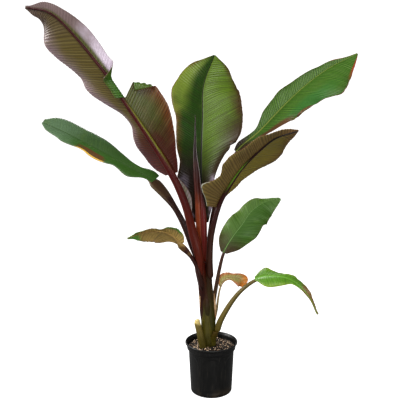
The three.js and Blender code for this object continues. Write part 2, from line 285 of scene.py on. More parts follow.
def makeVeins():
    # side veins run across the blade: fine ridges five to a centimetre, and uneven streaks between them
    group, inn, out = startGroup('sideVeins', [
        ('Lay', 'NodeSocketVector', None),
        ('Spacing', 'NodeSocketFloat', 0.0105),
    ], [('Fine', 'NodeSocketFloat'), ('Streak', 'NodeSocketFloat')])
    split = group.nodes.new('ShaderNodeSeparateXYZ')
    group.links.new(inn.outputs['Lay'], split.inputs[0])
    drift = noiseOf(group, stretched(group, inn.outputs['Lay'], (26, 9, 1)), 1.0, 2.0)
    moved = mathOf(group, 'ADD', split.outputs[0], mathOf(group, 'MULTIPLY', drift, 0.006))
    turns = mathOf(group, 'MULTIPLY', mathOf(group, 'DIVIDE', moved, inn.outputs['Spacing']), 2 * math.pi)
    fine = mathOf(group, 'MULTIPLY_ADD', mathOf(group, 'SINE', mathOf(group, 'MULTIPLY', turns, 5.0)), 0.5)
    group.nodes[-1].inputs[2].default_value = 0.5
    streak = noiseOf(group, stretched(group, inn.outputs['Lay'], (210, 5, 1)), 1.0, 4.0, 0.6)
    for value, socket in zip((fine, streak), out.inputs):
        group.links.new(value, socket)
    return group


sideVeins = makeVeins()


def useGroup(tree, group, **values):
    node = tree.nodes.new('ShaderNodeGroup')
    node.node_tree = group
    for title, value in values.items():
        link(tree, value, node.inputs[title])
    return node


def layOf(tree):
    node = tree.nodes.new('ShaderNodeUVMap')
    node.uv_map = 'lay'
    return node.outputs[0]


def objectSpot(tree):
    return tree.nodes.new('ShaderNodeTexCoord').outputs['Object']


def startMaterial(name):
    material = bpy.data.materials.new(name)
    material.use_nodes = True
    tree = material.node_tree
    return material, tree, tree.nodes['Principled BSDF']


def bumpOf(tree, shader, height, strength, distance):
    node = tree.nodes.new('ShaderNodeBump')
    node.inputs['Strength'].default_value = strength
    node.inputs['Distance'].default_value = distance
    tree.links.new(height, node.inputs['Height'])
    tree.links.new(node.outputs[0], shader.inputs['Normal'])


bladeHabit = {  # what one side of a blade looks like unless its own look says otherwise
    'spacing': 0.0105, 'patch': 9.0, 'uneven': 0.55, 'edgeFrom': (0.55, 1.05), 'tipFrom': (0.8, 1.0),
    'blot': 0.25, 'streak': 0.3, 'ribShade': 0.3, 'footTo': (0.0, 0.3), 'footShare': 0.88, 'patches': (),
    'glowFrom': (0.14, 0.45), 'glowShare': 0.5, 'ribWide': (0.08, 0.15), 'rimFrom': (0.972, 0.992),
    'rimShare': 0.8, 'shine': 0.4, 'bloom': 0.0, 'bloomTint': (225, 215, 235), 'wax': 0.2, 'waxRough': 0.24,
    'relief': 0.25,
}


def bladeFinish(name, look):
    look = {**bladeHabit, **look}
    material, tree, shader = startMaterial(name)
    shape = tree.nodes.new('ShaderNodeAttribute')
    shape.attribute_name = 'leafPlace'
    split = tree.nodes.new('ShaderNodeSeparateColor')
    tree.links.new(shape.outputs['Color'], split.inputs[0])
    out, along, side = split.outputs
    veins = useGroup(tree, sideVeins, Lay=layOf(tree), Spacing=look['spacing'])
    patch = noiseOf(tree, objectSpot(tree), look['patch'], 3.0)
    uneven = mathOf(tree, 'MULTIPLY', mathOf(tree, 'SUBTRACT', patch, 0.5), look['uneven'])
    outward = mathOf(tree, 'ADD', out, uneven)
    lengthways = mathOf(tree, 'ADD', along, mathOf(tree, 'MULTIPLY', uneven, 0.5))
    colour = mixOf(tree, side, tone(*look['left']), tone(*look.get('right', look['left'])))
    edge = rangeOf(tree, outward, *look['edgeFrom'])
    edgeTint = mixOf(tree, side, tone(*look['edge']), tone(*look.get('edgeRight', look['edge'])))
    colour = mixOf(tree, edge, colour, edgeTint)
    if 'tip' in look:
        tipShare = rangeOf(tree, lengthways, *look['tipFrom'])
        colour = mixOf(tree, tipShare, colour, tone(*look['tip']))
    blot = rangeOf(tree, noiseOf(tree, objectSpot(tree), 22.0, 4.0), 0.52, 0.72, 0.0, look['blot'])
    colour = mixOf(tree, blot, colour, tone(*look['blotTint']))
    lines = rangeOf(tree, veins.outputs['Streak'], 0.35, 0.72)
    lines = mathOf(tree, 'MULTIPLY', lines, look['streak'])
    colour = mixOf(tree, lines, colour, tone(*look['veinTint']))
    # painted shade: one phase of each ripple across the blade is darkened toward this tint, putting the
    # corrugation's shade into the colour
    crest = tree.nodes.new('ShaderNodeAttribute')
    crest.attribute_name = 'leafCrest'
    paintedRippleShade = mathOf(tree, 'MULTIPLY', crest.outputs['Fac'], look['ribShade'])
    colour = mixOf(tree, paintedRippleShade, colour, tone(*look['ribShadeTint']))
    if 'foot' in look:
        footShare = rangeOf(tree, lengthways, *look['footTo'], 1.0, 0.0)
        colour = mixOf(tree, mathOf(tree, 'MULTIPLY', footShare, look['footShare']), colour,
                       tone(*look['foot']))
    for spot in look['patches']:
        here = mathOf(tree, 'MULTIPLY', rangeOf(tree, lengthways, spot['along'][0], spot['along'][1]),
                      rangeOf(tree, lengthways, spot['along'][2], spot['along'][3], 1.0, 0.0))
        here = mathOf(tree, 'MULTIPLY', here, rangeOf(tree, out, *spot['out']))
        if spot['side'] is not None:
            sideShare = side if spot['side'] else mathOf(tree, 'SUBTRACT', 1.0, side)
            here = mathOf(tree, 'MULTIPLY', here, sideShare)
        here = mathOf(tree, 'MULTIPLY', here, spot.get('share', 1.0))
        colour = mixOf(tree, here, colour, tone(*spot['tint']))
    if 'ribLine' in look:
        lit = rangeOf(tree, shape.outputs['Alpha'], *look['glowFrom'], 1.0, 0.0)
        glow = mathOf(tree, 'MULTIPLY', lit, look['glowShare'])
        colour = mixOf(tree, glow, colour, tone(*look['ribGlow']))
        dark = rangeOf(tree, shape.outputs['Alpha'], *look['ribWide'], 1.0, 0.0)
        colour = mixOf(tree, dark, colour, tone(*look['ribLine']))
    rim = mathOf(tree, 'MULTIPLY', rangeOf(tree, out, *look['rimFrom']), look['rimShare'])
    colour = mixOf(tree, rim, colour, tone(*look['rim']))
    tree.links.new(colour, shader.inputs['Base Color'])
    streak = veins.outputs['Streak']
    gloss = rangeOf(tree, streak, 0.2, 0.8, look['gloss'], look['gloss'] + 0.16)
    tree.links.new(gloss, shader.inputs['Roughness'])
    shader.inputs['Specular IOR Level'].default_value = look['shine']
    shader.inputs['Sheen Weight'].default_value = look['bloom']
    shader.inputs['Sheen Roughness'].default_value = 0.4
    shader.inputs['Sheen Tint'].default_value = tone(*look['bloomTint'])
    shader.inputs['Coat Weight'].default_value = look['wax']
    shader.inputs['Coat Roughness'].default_value = look['waxRough']
    relief = mathOf(tree, 'ADD', mathOf(tree, 'MULTIPLY', veins.outputs['Fine'], 0.15), streak)
    bumpOf(tree, shader, relief, look['relief'], 0.0016)
    return material


stalkHabit = {  # the same for stalks, sheaths and rolled leaves
    'midFrom': (0.1, 0.4), 'tipFrom': (0.5, 0.95), 'lineAt': (0.3, 0.85), 'lineFrom': (0.3, 0.45),
    'lineTo': (0.98, 1.0), 'lineShare': 0.85, 'shine': 0.3,
}


def stalkFinish(name, look):
    look = {**stalkHabit, **look}
    material, tree, shader = startMaterial(name)
    shape = tree.nodes.new('ShaderNodeAttribute')
    shape.attribute_name = 'stalkPlace'
    split = tree.nodes.new('ShaderNodeSeparateColor')
    tree.links.new(shape.outputs['Color'], split.inputs[0])
    along, top, flank = split.outputs
    grain = noiseOf(tree, stretched(tree, layOf(tree), (14, 420, 1)), 1.0, 4.0, 0.6)
    patch = noiseOf(tree, objectSpot(tree), 16.0, 3.0)
    uneven = mathOf(tree, 'MULTIPLY', mathOf(tree, 'SUBTRACT', patch, 0.5), 0.4)
    lengthways = mathOf(tree, 'ADD', along, uneven)
    middle = rangeOf(tree, lengthways, *look['midFrom'])
    colour = mixOf(tree, middle, tone(*look['foot']), tone(*look['mid']))
    tip = rangeOf(tree, lengthways, *look['tipFrom'])
    colour = mixOf(tree, tip, colour, tone(*look['tip']))
    if 'line' in look:
        band = mathOf(tree, 'MULTIPLY', rangeOf(tree, flank, *look['lineAt']),
                      rangeOf(tree, along, *look['lineFrom']))
        band = mathOf(tree, 'MULTIPLY', band, rangeOf(tree, along, *look['lineTo'], 1.0, 0.0))
        band = mathOf(tree, 'MULTIPLY', band, look['lineShare'])
        colour = mixOf(tree, band, colour, tone(*look['line']))
    colour = mixOf(tree, rangeOf(tree, grain, 0.42, 0.75, 0.0, 0.55), colour, tone(*look['streak']))
    groove = rangeOf(tree, top, 0.55, 0.95, 0.0, 0.5)
    colour = mixOf(tree, groove, colour, tone(*look.get('groove', look['mid'])))
    tree.links.new(colour, shader.inputs['Base Color'])
    tree.links.new(rangeOf(tree, grain, 0.2, 0.8, 0.3, 0.46), shader.inputs['Roughness'])
    shader.inputs['Specular IOR Level'].default_value = look['shine']
    bumpOf(tree, shader, grain, 0.3, 0.0012)
    return material


def leafRun(leaf):  # the stalk's line with its three directions
    points = np.array(leaf['petiole'] + leaf['midrib'])
    start = (len(leaf['petiole']) - 1) / (len(points) - 1) - leaf['early']
    shares = np.linspace(0, 1, 601)
    line = curveThrough(points, shares)
    along = np.gradient(line, axis=0)
    along /= np.linalg.norm(along, axis=1)[:, None]
    t = np.clip((shares - start) / (1 - start), 0, 1)[:, None]
    up = np.array(leaf['up'][0]) * (1 - t) + np.array(leaf['up'][1]) * t
    up = up - along * np.sum(up * along, axis=1)[:, None]
    up /= np.linalg.norm(up, axis=1)[:, None]
    right = np.cross(along, up)
    steps = np.linalg.norm(np.diff(line, axis=0), axis=1)
    run = np.concatenate([[0], np.cumsum(steps)])
    return {'shares': shares, 'line': line, 'up': up, 'right': right, 'run': run, 'start': start}


def pick(run, key, share):
    table = run[key]
    if table.ndim == 1:
        return np.interp(share, run['shares'], table)
    return np.stack([np.interp(share, run['shares'], table[:, k]) for k in range(3)], 1)


def ribHalf(leaf, run, share):
    foot, blade, tip = leaf['stalk']
    start = run['start']
    low = foot + (blade - foot) * share / start
    left = np.clip(1 - (share - start) / (1 - start), 0, 1) ** leaf['slim']
    high = tip + (blade - tip) * left
    return np.where(share < start, low, high)


def widthAt(half, share, least):
    return np.maximum(curveThrough(half['width'], np.minimum(share, 1))[:, 0], least)


def veinReach(half, share, lean):  # how far out a slanting side vein meets the margin
    reach = np.full(len(share), 0.05)
    for _ in range(14):
        reach = 0.5 * (reach + widthAt(half, share + lean * reach, 0.002))
    return reach


def shapeBlade(leaf, run, s, q):  # places across the blade from s along it and q out from the midrib
    start = run['start']
    bladeLength = run['run'][-1] - np.interp(start, run['shares'], run['run'])
    way = np.where(q < 0, -1.0, 1.0)
    skew = leaf['skew'] * smoothStep(0.0, 0.2, s) * (1 - 0.35 * s)
    spots = np.zeros((len(s), 3))
    reach = np.zeros(len(s))
    nearRib = np.ones(len(s))
    crest = np.ones(len(s))
    t = s.copy()
    halves = ((-1.0, leaf['left'], 7), (1.0, leaf['right'], 29))
    for mark, half, seed in halves:
        mine = way == mark
        sm, qm = s[mine], np.abs(q[mine])
        lean = skew[mine] / bladeLength
        full = veinReach(half, sm, lean) * (1 + leaf['ragged'] * wobble(sm * 60, seed))
        limitBy = widthAt(half, sm + lean * full, 0.004)
        loose = np.zeros(len(sm))
        fold = np.radians(curveThrough(half['fold'], np.minimum(sm + lean * full * qm, 1)))
        near, far = fold[:, 0], fold[:, 1]
        for split in half.get('splits', ()):  # a stretch torn free along a side vein and rolled its own way
            closing = smoothStep(split['to'] - split['ease'], split['to'], sm)
            opened = (sm >= split['from']).astype(float) * (1 - closing)
            full = full * (1 - opened) + split['width'] * opened
            near = near * (1 - opened) + math.radians(split['fold'][0]) * opened
            far = far * (1 - opened) + math.radians(split['fold'][1]) * opened
            limitBy = limitBy * (1 - opened) + split['width'] * opened
            loose = np.maximum(loose, opened)
        tm = np.minimum(sm + lean * full * qm, 1)
        share = start + (1 - start) * tm
        rib = ribHalf(leaf, run, share) * 0.9
        out = full * qm
        limit = widthAt(half, tm, 0.004) * (1 - loose) + limitBy * loose
        turn = (far - near) / np.maximum(limit - rib, 0.004)
        turn = np.where(np.abs(turn) < 1e-4, 1e-4, turn)
        past = np.maximum(out - rib, 0)
        angle = near + turn * past
        acrossBy = np.minimum(out, rib) + (np.sin(angle) - np.sin(near)) / turn
        liftBy = (np.cos(near) - np.cos(angle)) / turn
        sink = -leaf['channel'] * np.exp(-((out / np.maximum(rib, 0.001)) ** 2))
        up, right = pick(run, 'up', share), pick(run, 'right', share)
        normal = up * np.cos(angle)[:, None] - mark * right * np.sin(angle)[:, None]
        beyond = smoothStep(0.0, 0.22, qm)
        strength = leaf['ripple'] * (0.8 + 0.5 * wobble(sm * 17, 5))
        beat = np.sin(2 * np.pi * (sm * bladeLength / leaf['rippleStep'] + 0.7 * wobble(sm * 13, 17)))
        ripple = strength * beyond * beat
        # the ripple phase that the blade finish darkens as painted shade
        crest[mine] = 0.5 + 0.5 * beat * smoothStep(0.02, 0.1, qm)
        count, height, phase = half.get('waves', (4, 0.002, 0.0))
        wave = height * qm**2 * np.sin(2 * np.pi * (count * sm + phase) + 0.8 * wobble(sm * 9, 3))
        fade = smoothStep(0.0, 0.12, sm) * (1 - smoothStep(0.93, 1.0, sm))
        shift = (ripple + wave * fade)[:, None]
        nearRib[mine] = np.clip(out / np.maximum(3 * rib, 0.002), 0, 1)
        spots[mine] = (pick(run, 'line', share) + up * (0.001 + liftBy + sink)[:, None]
                       + mark * right * acrossBy[:, None] + normal * shift)
        reach[mine] = out
        t[mine] = tm
    return spots, reach, t, way, nearRib, crest, bladeLength


def rollOver(spots, s, q, run, curl):  # rolls what lies beyond a crease from a to b, given as shares
    ends = []
    for at, side in (curl['a'], curl['b']):
        ends.append(spots[np.argmin(((s - at) * 4) ** 2 + (q - side) ** 2)])
    first, second = ends
    crease = (second - first) / np.linalg.norm(second - first)
    middle = (first + second) / 2
    mark = 1.0 if curl['a'][1] > 0 else -1.0
    near = int(np.linalg.norm(run['line'] - middle, axis=1).argmin())
    away = middle - run['line'][near]
    away -= crease * away.dot(crease)
    away /= np.linalg.norm(away)
    normal = np.cross(crease, away)
    if normal.dot(run['up'][near]) < 0:
        normal = -normal
    low, high = sorted((curl['a'][0], curl['b'][0]))
    past = (spots - first) @ away
    mine = (q * mark > 0) & (past > 0) & (s >= low - 0.02) & (s <= high + curl.get('after', 0.02))
    radius, most = curl['radius'], math.radians(curl['turn'])
    turned = np.minimum(past / radius, most)
    straight = np.maximum(past - radius * most, 0)
    outBy = radius * np.sin(turned) + straight * np.cos(turned)
    liftBy = radius * (1 - np.cos(turned)) + straight * np.sin(turned)
    lifted = (spots - first) @ normal
    rolled = (spots - away * past[:, None] + away * (outBy - lifted * np.sin(turned) * curl['way'])[:, None]
              + normal * (liftBy * curl['way'] + lifted * (np.cos(turned) - 1))[:, None])
    return np.where(mine[:, None], rolled, spots)


def openSplits(piece, leaf, s, q):  # takes out the strip of faces across each tear
    edges = [(mark, split['from']) for mark, half in ((-1, leaf['left']), (1, leaf['right']))
             for split in half.get('splits', ())]
    if not edges:
        return
    only(piece)
    bpy.ops.object.mode_set(mode='EDIT')
    bpy.ops.mesh.select_mode(type='FACE')
    bpy.ops.mesh.select_all(action='DESELECT')
    bpy.ops.object.mode_set(mode='OBJECT')
    for face in piece.data.polygons:
        corners = list(face.vertices)
        first, last, side = s[corners].min(), s[corners].max(), q[corners].mean()
        face.select = any(side * mark > 0.12 and first < at <= last for mark, at in edges)
    bpy.ops.object.mode_set(mode='EDIT')
    bpy.ops.mesh.delete(type='FACE')
    bpy.ops.object.mode_set(mode='OBJECT')


def makeBlade(leaf, run):
    piece, s, q = addGrid(leaf['name'] + '_blade', leaf['rows'], leaf['columns'])
    q = np.sign(q) * (0.55 * np.abs(q) + 0.45 * np.abs(q) ** 1.6)
    spots, reach, t, way, nearRib, crest, length = shapeBlade(leaf, run, s, q)
    for curl in leaf['curls']:
        spots = rollOver(spots, s, q, run, curl)
    place(piece, spots)
    mapOver(piece, s * length, way * reach)
    stain(piece, 'leafPlace', np.abs(q), t, (way + 1) / 2, nearRib)
    stain(piece, 'leafCrest', crest, crest, crest)
    openSplits(piece, leaf, s, q)
    skin = piece.modifiers.new('skin', 'SOLIDIFY')
    skin.thickness = 0.0008
    skin.offset = -1
    skin.material_offset = 1
    skin.material_offset_rim = 1
    upper = bladeFinish(leaf['name'] + '_upper', {**upperLook, **leaf['upper']})
    under = bladeFinish(leaf['name'] + '_under', {**underLook, **leaf['under']})
    piece.data.materials.append(upper)
    piece.data.materials.append(under)
    only(piece)
    if not facesUp(piece, run):
        bpy.ops.object.mode_set(mode='EDIT')
        bpy.ops.mesh.select_all(action='SELECT')
        bpy.ops.mesh.flip_normals()
        bpy.ops.object.mode_set(mode='OBJECT')
    applyAll(piece)
    settle(piece, leaf['slot'], [leaf['name'] + '_blade'])


def facesUp(piece, run):
    middle = piece.data.polygons[len(piece.data.polygons) // 2]
    gaps = np.linalg.norm(run['line'] - np.array(middle.center), axis=1)
    return Vector(run['up'][int(gaps.argmin())]).dot(middle.normal) > 0


def makeStalk(leaf, run):
    piece, share, turn = addGrid(leaf['name'] + '_stalk', 150, 28)
    angle = turn * math.pi
    half = ribHalf(leaf, run, share)
    inPetiole = 1 - smoothStep(run['start'] - 0.08, run['start'] + 0.03, share)
    closed = 1 - smoothStep(0.985, 1.0001, share)
    ends = np.minimum(smoothStep(-0.0001, leaf['footTaper'], share), closed)
    topness = np.clip(np.sin(angle), 0, 1)
    wingFrom, wingFull, wingWide, wingFade = leaf['wing']
    fading = 1 - smoothStep(wingFull, wingFull + wingFade, share)
    wing = 1 + wingWide * smoothStep(wingFrom, wingFull, share) * fading
    groove = 1 - leaf['groove'] * inPetiole * topness**5
    high = np.where(np.sin(angle) > 0, 0.9, 1.12)
    up, right = pick(run, 'up', share), pick(run, 'right', share)
    size = half * ends
    uneven = 1 + 0.03 * wobble(share * 23 + angle, 9)
    spots = (pick(run, 'line', share) - up * half[:, None]
             + right * (size * wing * np.cos(angle) * uneven)[:, None]
             + up * (size * high * np.sin(angle) * groove * uneven)[:, None])
    place(piece, spots)
    mapRound(piece, pick(run, 'run', share), 0.1)
    stain(piece, 'stalkPlace', share, topness, (np.cos(angle) * leaf['lineSide'] + 1) / 2)
    sealSeam(piece)
    name = leaf['name'] + '_stalk'
    finishPiece(piece, 'stalk', [name], stalkFinish(name, {**stalkLook, **leaf['stalkLook']}))


# A leaf's widths run evenly from base to tip, and so do its folds, in degrees above flat near the midrib and
# at the margin. up is the way its upper side faces at the base and at the tip, and stalk its half widths at
# foot, blade and tip. A curl rolls what lies beyond a crease from a to b. A patch of colour rises and falls
# along the blade, starts some way out from the midrib, and lies on the left half, 0, the right, 1, or both.
leafHabit = {  # what a leaf is like unless it says otherwise
    'rows': 300, 'columns': 28, 'early': 0.0, 'slim': 1.7, 'skew': 0.62, 'ragged': 0.008, 'channel': 0.0012,
    'ripple': 0.0005, 'rippleStep': 0.0105, 'curls': (), 'slot': 'leaf', 'footTaper': 0.05,
    'wing': (0.3, 0.5, 0.0, 0.06), 'groove': 0.32, 'lineSide': -1, 'upper': {}, 'under': {}, 'stalkLook': {},
}
upperLook = {
    'left': (52, 90, 24), 'edge': (70, 84, 28), 'blotTint': (84, 106, 30), 'veinTint': (104, 136, 50),
    'ribShadeTint': (34, 66, 28), 'rim': (92, 56, 40), 'gloss': 0.34, 'ribLine': (58, 40, 30),
    'ribGlow': (120, 150, 84), 'shine': 0.3,
}
underLook = {
    'left': (92, 84, 34), 'edge': (104, 76, 46), 'blotTint': (92, 70, 36), 'veinTint': (124, 112, 62),
    'ribShadeTint': (54, 46, 26), 'rim': (104, 62, 44), 'gloss': 0.4, 'bloom': 0.06, 'ribShade': 0.4,
    'shine': 0.3,
}
stalkLook = {
    'foot': (44, 18, 10), 'mid': (52, 17, 12), 'tip': (46, 18, 14), 'streak': (28, 10, 8),
}

leafOne = {  # the largest, upper left, seen from below
    'name': 'leaf_1',
    'petiole': [(-0.035, -0.03, 0.5), (-0.045, -0.045, 0.625), (-0.075, -0.06, 0.755),
                (-0.105, -0.09, 0.875), (-0.155, -0.12, 0.995)],
    'midrib': [(-0.235, -0.17, 1.13), (-0.32, -0.23, 1.265), (-0.41, -0.295, 1.405),
               (-0.545, -0.358, 1.562), (-0.645, -0.375, 1.592)],
    'up': [(0.3, 0.85, 0.35), (0, 0.95, 0.3)], 'stalk': (0.02, 0.015, 0.003),
    'left': {'width': [0.02, 0.04, 0.058, 0.082, 0.101, 0.118, 0.13, 0.132, 0.13, 0.12, 0.1, 0.056, 0.048,
                       0.056, 0.062, 0.058, 0.046, 0.042, 0.038, 0.02, 0.006],
             'fold': [(20, -6), (26, 4), (45, 20), (66, 44), (80, 60)], 'waves': (3, 0.004, 0.2),
             'splits': [{'from': 0.43, 'to': 0.565, 'ease': 0.05, 'width': 0.052, 'fold': (-62, -190)}]},
    'right': {'width': [0.044, 0.079, 0.091, 0.089, 0.083, 0.069, 0.054, 0.056, 0.068, 0.09, 0.116, 0.13,
                        0.122, 0.126, 0.132, 0.13, 0.106, 0.076, 0.036, 0.02, 0.006],
              'fold': [(12, 10), (0, 34), (-4, 46)], 'waves': (4, 0.007, 0.1)},
    'curls': [{'a': (0.30, -0.97), 'b': (0.425, -0.62), 'radius': 0.006, 'turn': 170, 'way': -1,
               'after': 0.004}],
    'rows': 460, 'columns': 30, 'footTaper': 0.16, 'ripple': 0.0007, 'wing': (-0.3, 0.06, 0.22, 0.3),
    'under': {'left': (62, 72, 8), 'right': (88, 76, 30), 'edge': (100, 48, 10),
              'edgeRight': (124, 104, 112), 'edgeFrom': (0.42, 0.98), 'foot': (66, 8, 8),
              'footTo': (0.12, 0.32), 'ribShade': 0.5, 'tip': (82, 66, 64), 'tipFrom': (0.68, 0.92),
              'bloom': 0.12, 'veinTint': (140, 130, 86), 'ribShadeTint': (46, 32, 16), 'patches': [
                  {'along': (0.48, 0.56, 0.64, 0.8), 'out': (0.15, 0.5), 'side': 0, 'tint': (184, 172, 184)},
                  {'along': (0.62, 0.76, 1.1, 1.2), 'out': (0.1, 0.4), 'side': 0, 'tint': (104, 88, 86)}]},
    'stalkLook': {'foot': (84, 26, 8), 'mid': (72, 15, 11), 'tip': (56, 12, 14), 'line': (116, 118, 34),
                  'lineFrom': (0.45, 0.55), 'lineAt': (0.8, 0.95), 'lineTo': (0.64, 0.7)}, 'lineSide': -1,
}
leafTwo = {  # centre back, seen from above
    'name': 'leaf_2',
    'petiole': [(-0.02, 0.01, 0.575), (-0.025, 0.02, 0.635), (-0.03, 0.028, 0.69), (-0.035, 0.03, 0.73),
                (-0.038, 0.03, 0.765)],
    'midrib': [(-0.045, 0.05, 0.915), (-0.045, 0.09, 1.065), (-0.04, 0.14, 1.22), (-0.035, 0.19, 1.37),
               (0.015, 0.24, 1.51)],
    'up': [(0, -0.95, 0.3), (0, -0.95, 0.3)], 'stalk': (0.013, 0.012, 0.003),
    'left': {'width': [0.03, 0.06, 0.093, 0.114, 0.118, 0.113, 0.102, 0.099, 0.109, 0.115, 0.117, 0.118,
                       0.123, 0.132, 0.141, 0.141, 0.125, 0.108, 0.085, 0.042, 0.004],
             'fold': [(26, 14), (22, 8), (10, -6)], 'waves': (3, 0.006, 0.4)},
    'right': {'width': [0.025, 0.034, 0.045, 0.048, 0.053, 0.06, 0.072, 0.088, 0.112, 0.15, 0.172, 0.182,
                        0.183, 0.181, 0.175, 0.169, 0.16, 0.146, 0.115, 0.076, 0.006],
              'fold': [(24, 4), (20, 0), (10, -6)], 'waves': (4, 0.007, 0.7)},
    'curls': [{'a': (0.02, -0.98), 'b': (0.2, -1.0), 'radius': 0.006, 'turn': 140, 'way': 1},
              {'a': (0.1, 1.0), 'b': (0.33, 1.0), 'radius': 0.005, 'turn': 120, 'way': 1}],
    'under': {'left': (92, 88, 48), 'right': (98, 92, 50), 'edge': (146, 136, 140), 'bloom': 0.12,
              'wax': 0.06},
    'rows': 460, 'columns': 32, 'footTaper': 0.05,
    'upper': {'left': (34, 68, 8), 'right': (94, 120, 34), 'edge': (98, 72, 26), 'edgeRight': (78, 56, 26),
              'edgeFrom': (0.66, 1.05), 'foot': (34, 9, 9), 'footTo': (0.22, 0.5), 'shine': 0.16,
              'wax': 0.1, 'waxRough': 0.2, 'glowShare': 0.3, 'ribLine': (14, 6, 5), 'ribWide': (0.12, 0.26),
              'streak': 0.6, 'veinTint': (44, 40, 20), 'ribShade': 0.4, 'ribShadeTint': (26, 34, 10),
              'ribGlow': (90, 116, 50), 'patches': [
                  {'along': (0.6, 0.75, 0.86, 0.98), 'out': (0.3, 0.7), 'side': 0, 'tint': (116, 132, 52),
                   'share': 0.7},
                  {'along': (0.2, 0.3, 0.5, 0.66), 'out': (0.25, 0.9), 'side': 1, 'tint': (62, 48, 34),
                   'share': 0.9},
                  # the two pale lilac patches at the foot are painted highlight, tinted lilac
                  {'along': (0.04, 0.12, 0.24, 0.32), 'out': (0.5, 0.85), 'side': 1,
                   'tint': (196, 180, 204), 'share': 0.6},
                  {'along': (0.02, 0.08, 0.14, 0.24), 'out': (0.45, 0.8), 'side': 0,
                   'tint': (196, 180, 204), 'share': 0.5}]},
}
leafThree = {  # upper right, seen from above
    'name': 'leaf_3',
    'petiole': [(-0.02, 0.012, 0.585), (-0.012, 0.024, 0.7), (0.01, 0.042, 0.83), (0.055, 0.074, 0.96),
                (0.112, 0.11, 1.075)],
    'midrib': [(0.22, 0.17, 1.165), (0.325, 0.22, 1.27), (0.435, 0.27, 1.37), (0.56, 0.31, 1.46),
               (0.7, 0.34, 1.53)],
    'up': [(-0.3, -0.7, 0.6), (-0.3, -0.7, 0.6)], 'stalk': (0.012, 0.009, 0.0025),
    'left': {'width': [0.013, 0.024, 0.022, 0.02, 0.022, 0.036, 0.051, 0.056, 0.06, 0.066, 0.062, 0.056,
                       0.052, 0.048, 0.042, 0.034, 0.03, 0.024, 0.014, 0.008, 0.004],
             'fold': [(50, 36), (55, 40)], 'waves': (5, 0.003, 0.1)},
    'curls': [{'a': (0.12, 1.0), 'b': (0.46, 1.0), 'radius': 0.004, 'turn': 160, 'way': 1}],
    'right': {'width': [0.029, 0.03, 0.034, 0.036, 0.046, 0.061, 0.072, 0.086, 0.11, 0.128, 0.132, 0.128,
                        0.13, 0.15, 0.17, 0.164, 0.143, 0.119, 0.085, 0.047, 0.004],
              'fold': [(10, -8), (8, -10)], 'waves': (4, 0.005, 0.5)},
    'rows': 440, 'columns': 28,
    'ripple': 0.0005,
    'upper': {'relief': 0.1, 'left': (84, 118, 40), 'right': (78, 118, 34), 'edge': (64, 92, 24),
              'rim': (110, 40, 26), 'ribLine': (132, 140, 70), 'ribGlow': (54, 84, 30),
              'ribWide': (0.1, 0.2), 'foot': (62, 38, 26), 'footTo': (0.08, 0.26), 'glowShare': 0.5,
              'ribShade': 0.75, 'ribShadeTint': (26, 56, 16), 'wax': 0.08, 'streak': 0.4,
              'veinTint': (120, 146, 84), 'patches': [
                  {'along': (0.3, 0.4, 0.6, 0.75), 'out': (0.3, 0.6), 'side': 1, 'tint': (48, 104, 46),
                   'share': 0.6},
                  {'along': (-0.1, 0.02, 0.34, 0.42), 'out': (0.5, 0.75), 'side': 1, 'tint': (92, 52, 34),
                   'share': 0.85},
                  {'along': (0.38, 0.42, 0.44, 0.48), 'out': (0.9, 0.95), 'side': 1, 'tint': (212, 184, 66)},
                  {'along': (0.76, 0.9, 1.2, 1.3), 'out': (0.84, 0.95), 'side': None,
                   'tint': (150, 54, 30)}]},
}
leafFour = {  # right, in front of leaf three, seen from below
    'name': 'leaf_4',
    'petiole': [(-0.012, -0.024, 0.52), (-0.015, -0.042, 0.625), (-0.01, -0.052, 0.71),
                (0.005, -0.065, 0.79), (0.03, -0.08, 0.87)],
    'midrib': [(0.07, -0.11, 0.945), (0.12, -0.14, 1.02), (0.18, -0.175, 1.085), (0.245, -0.21, 1.14),
               (0.33, -0.24, 1.17)],
    'up': [(-0.4, 0.65, 0.6), (-0.4, 0.65, 0.6)], 'stalk': (0.015, 0.01, 0.0025),
    'left': {'width': [0.019, 0.022, 0.022, 0.026, 0.038, 0.048, 0.054, 0.07, 0.085, 0.098, 0.113, 0.124,
                       0.131, 0.135, 0.13, 0.117, 0.102, 0.079, 0.055, 0.034, 0.005],
             'fold': [(10, -6), (10, -6)], 'waves': (3, 0.003, 0.3)},
    'right': {'width': [0.052, 0.067, 0.087, 0.112, 0.124, 0.08, 0.068, 0.079, 0.094, 0.092, 0.083, 0.077,
                        0.071, 0.065, 0.058, 0.052, 0.042, 0.036, 0.026, 0.015, 0.004],
              'fold': [(12, 0), (12, 0)], 'waves': (4, 0.004, 0.6)},
    'rows': 280, 'columns': 26, 'footTaper': 0.03,
    'under': {'left': (124, 112, 36), 'right': (106, 86, 46), 'edge': (112, 88, 40),
              'edgeRight': (132, 114, 62), 'tip': (112, 84, 54), 'ribShade': 0.5, 'ribShadeTint': (46, 36, 18),
              'patches': [
                  {'along': (-0.2, -0.1, 0.16, 0.24), 'out': (0.94, 0.97), 'side': 1,
                   'tint': (176, 188, 176)}]},
    'ripple': 0.0008, 'early': 0.03,
    'stalkLook': {'foot': (56, 30, 18), 'mid': (50, 20, 17), 'tip': (22, 12, 12), 'line': (88, 124, 36),
                  'lineFrom': (0.5, 0.6), 'lineAt': (0.78, 0.95), 'lineTo': (0.66, 0.74)}, 'lineSide': 1,
}
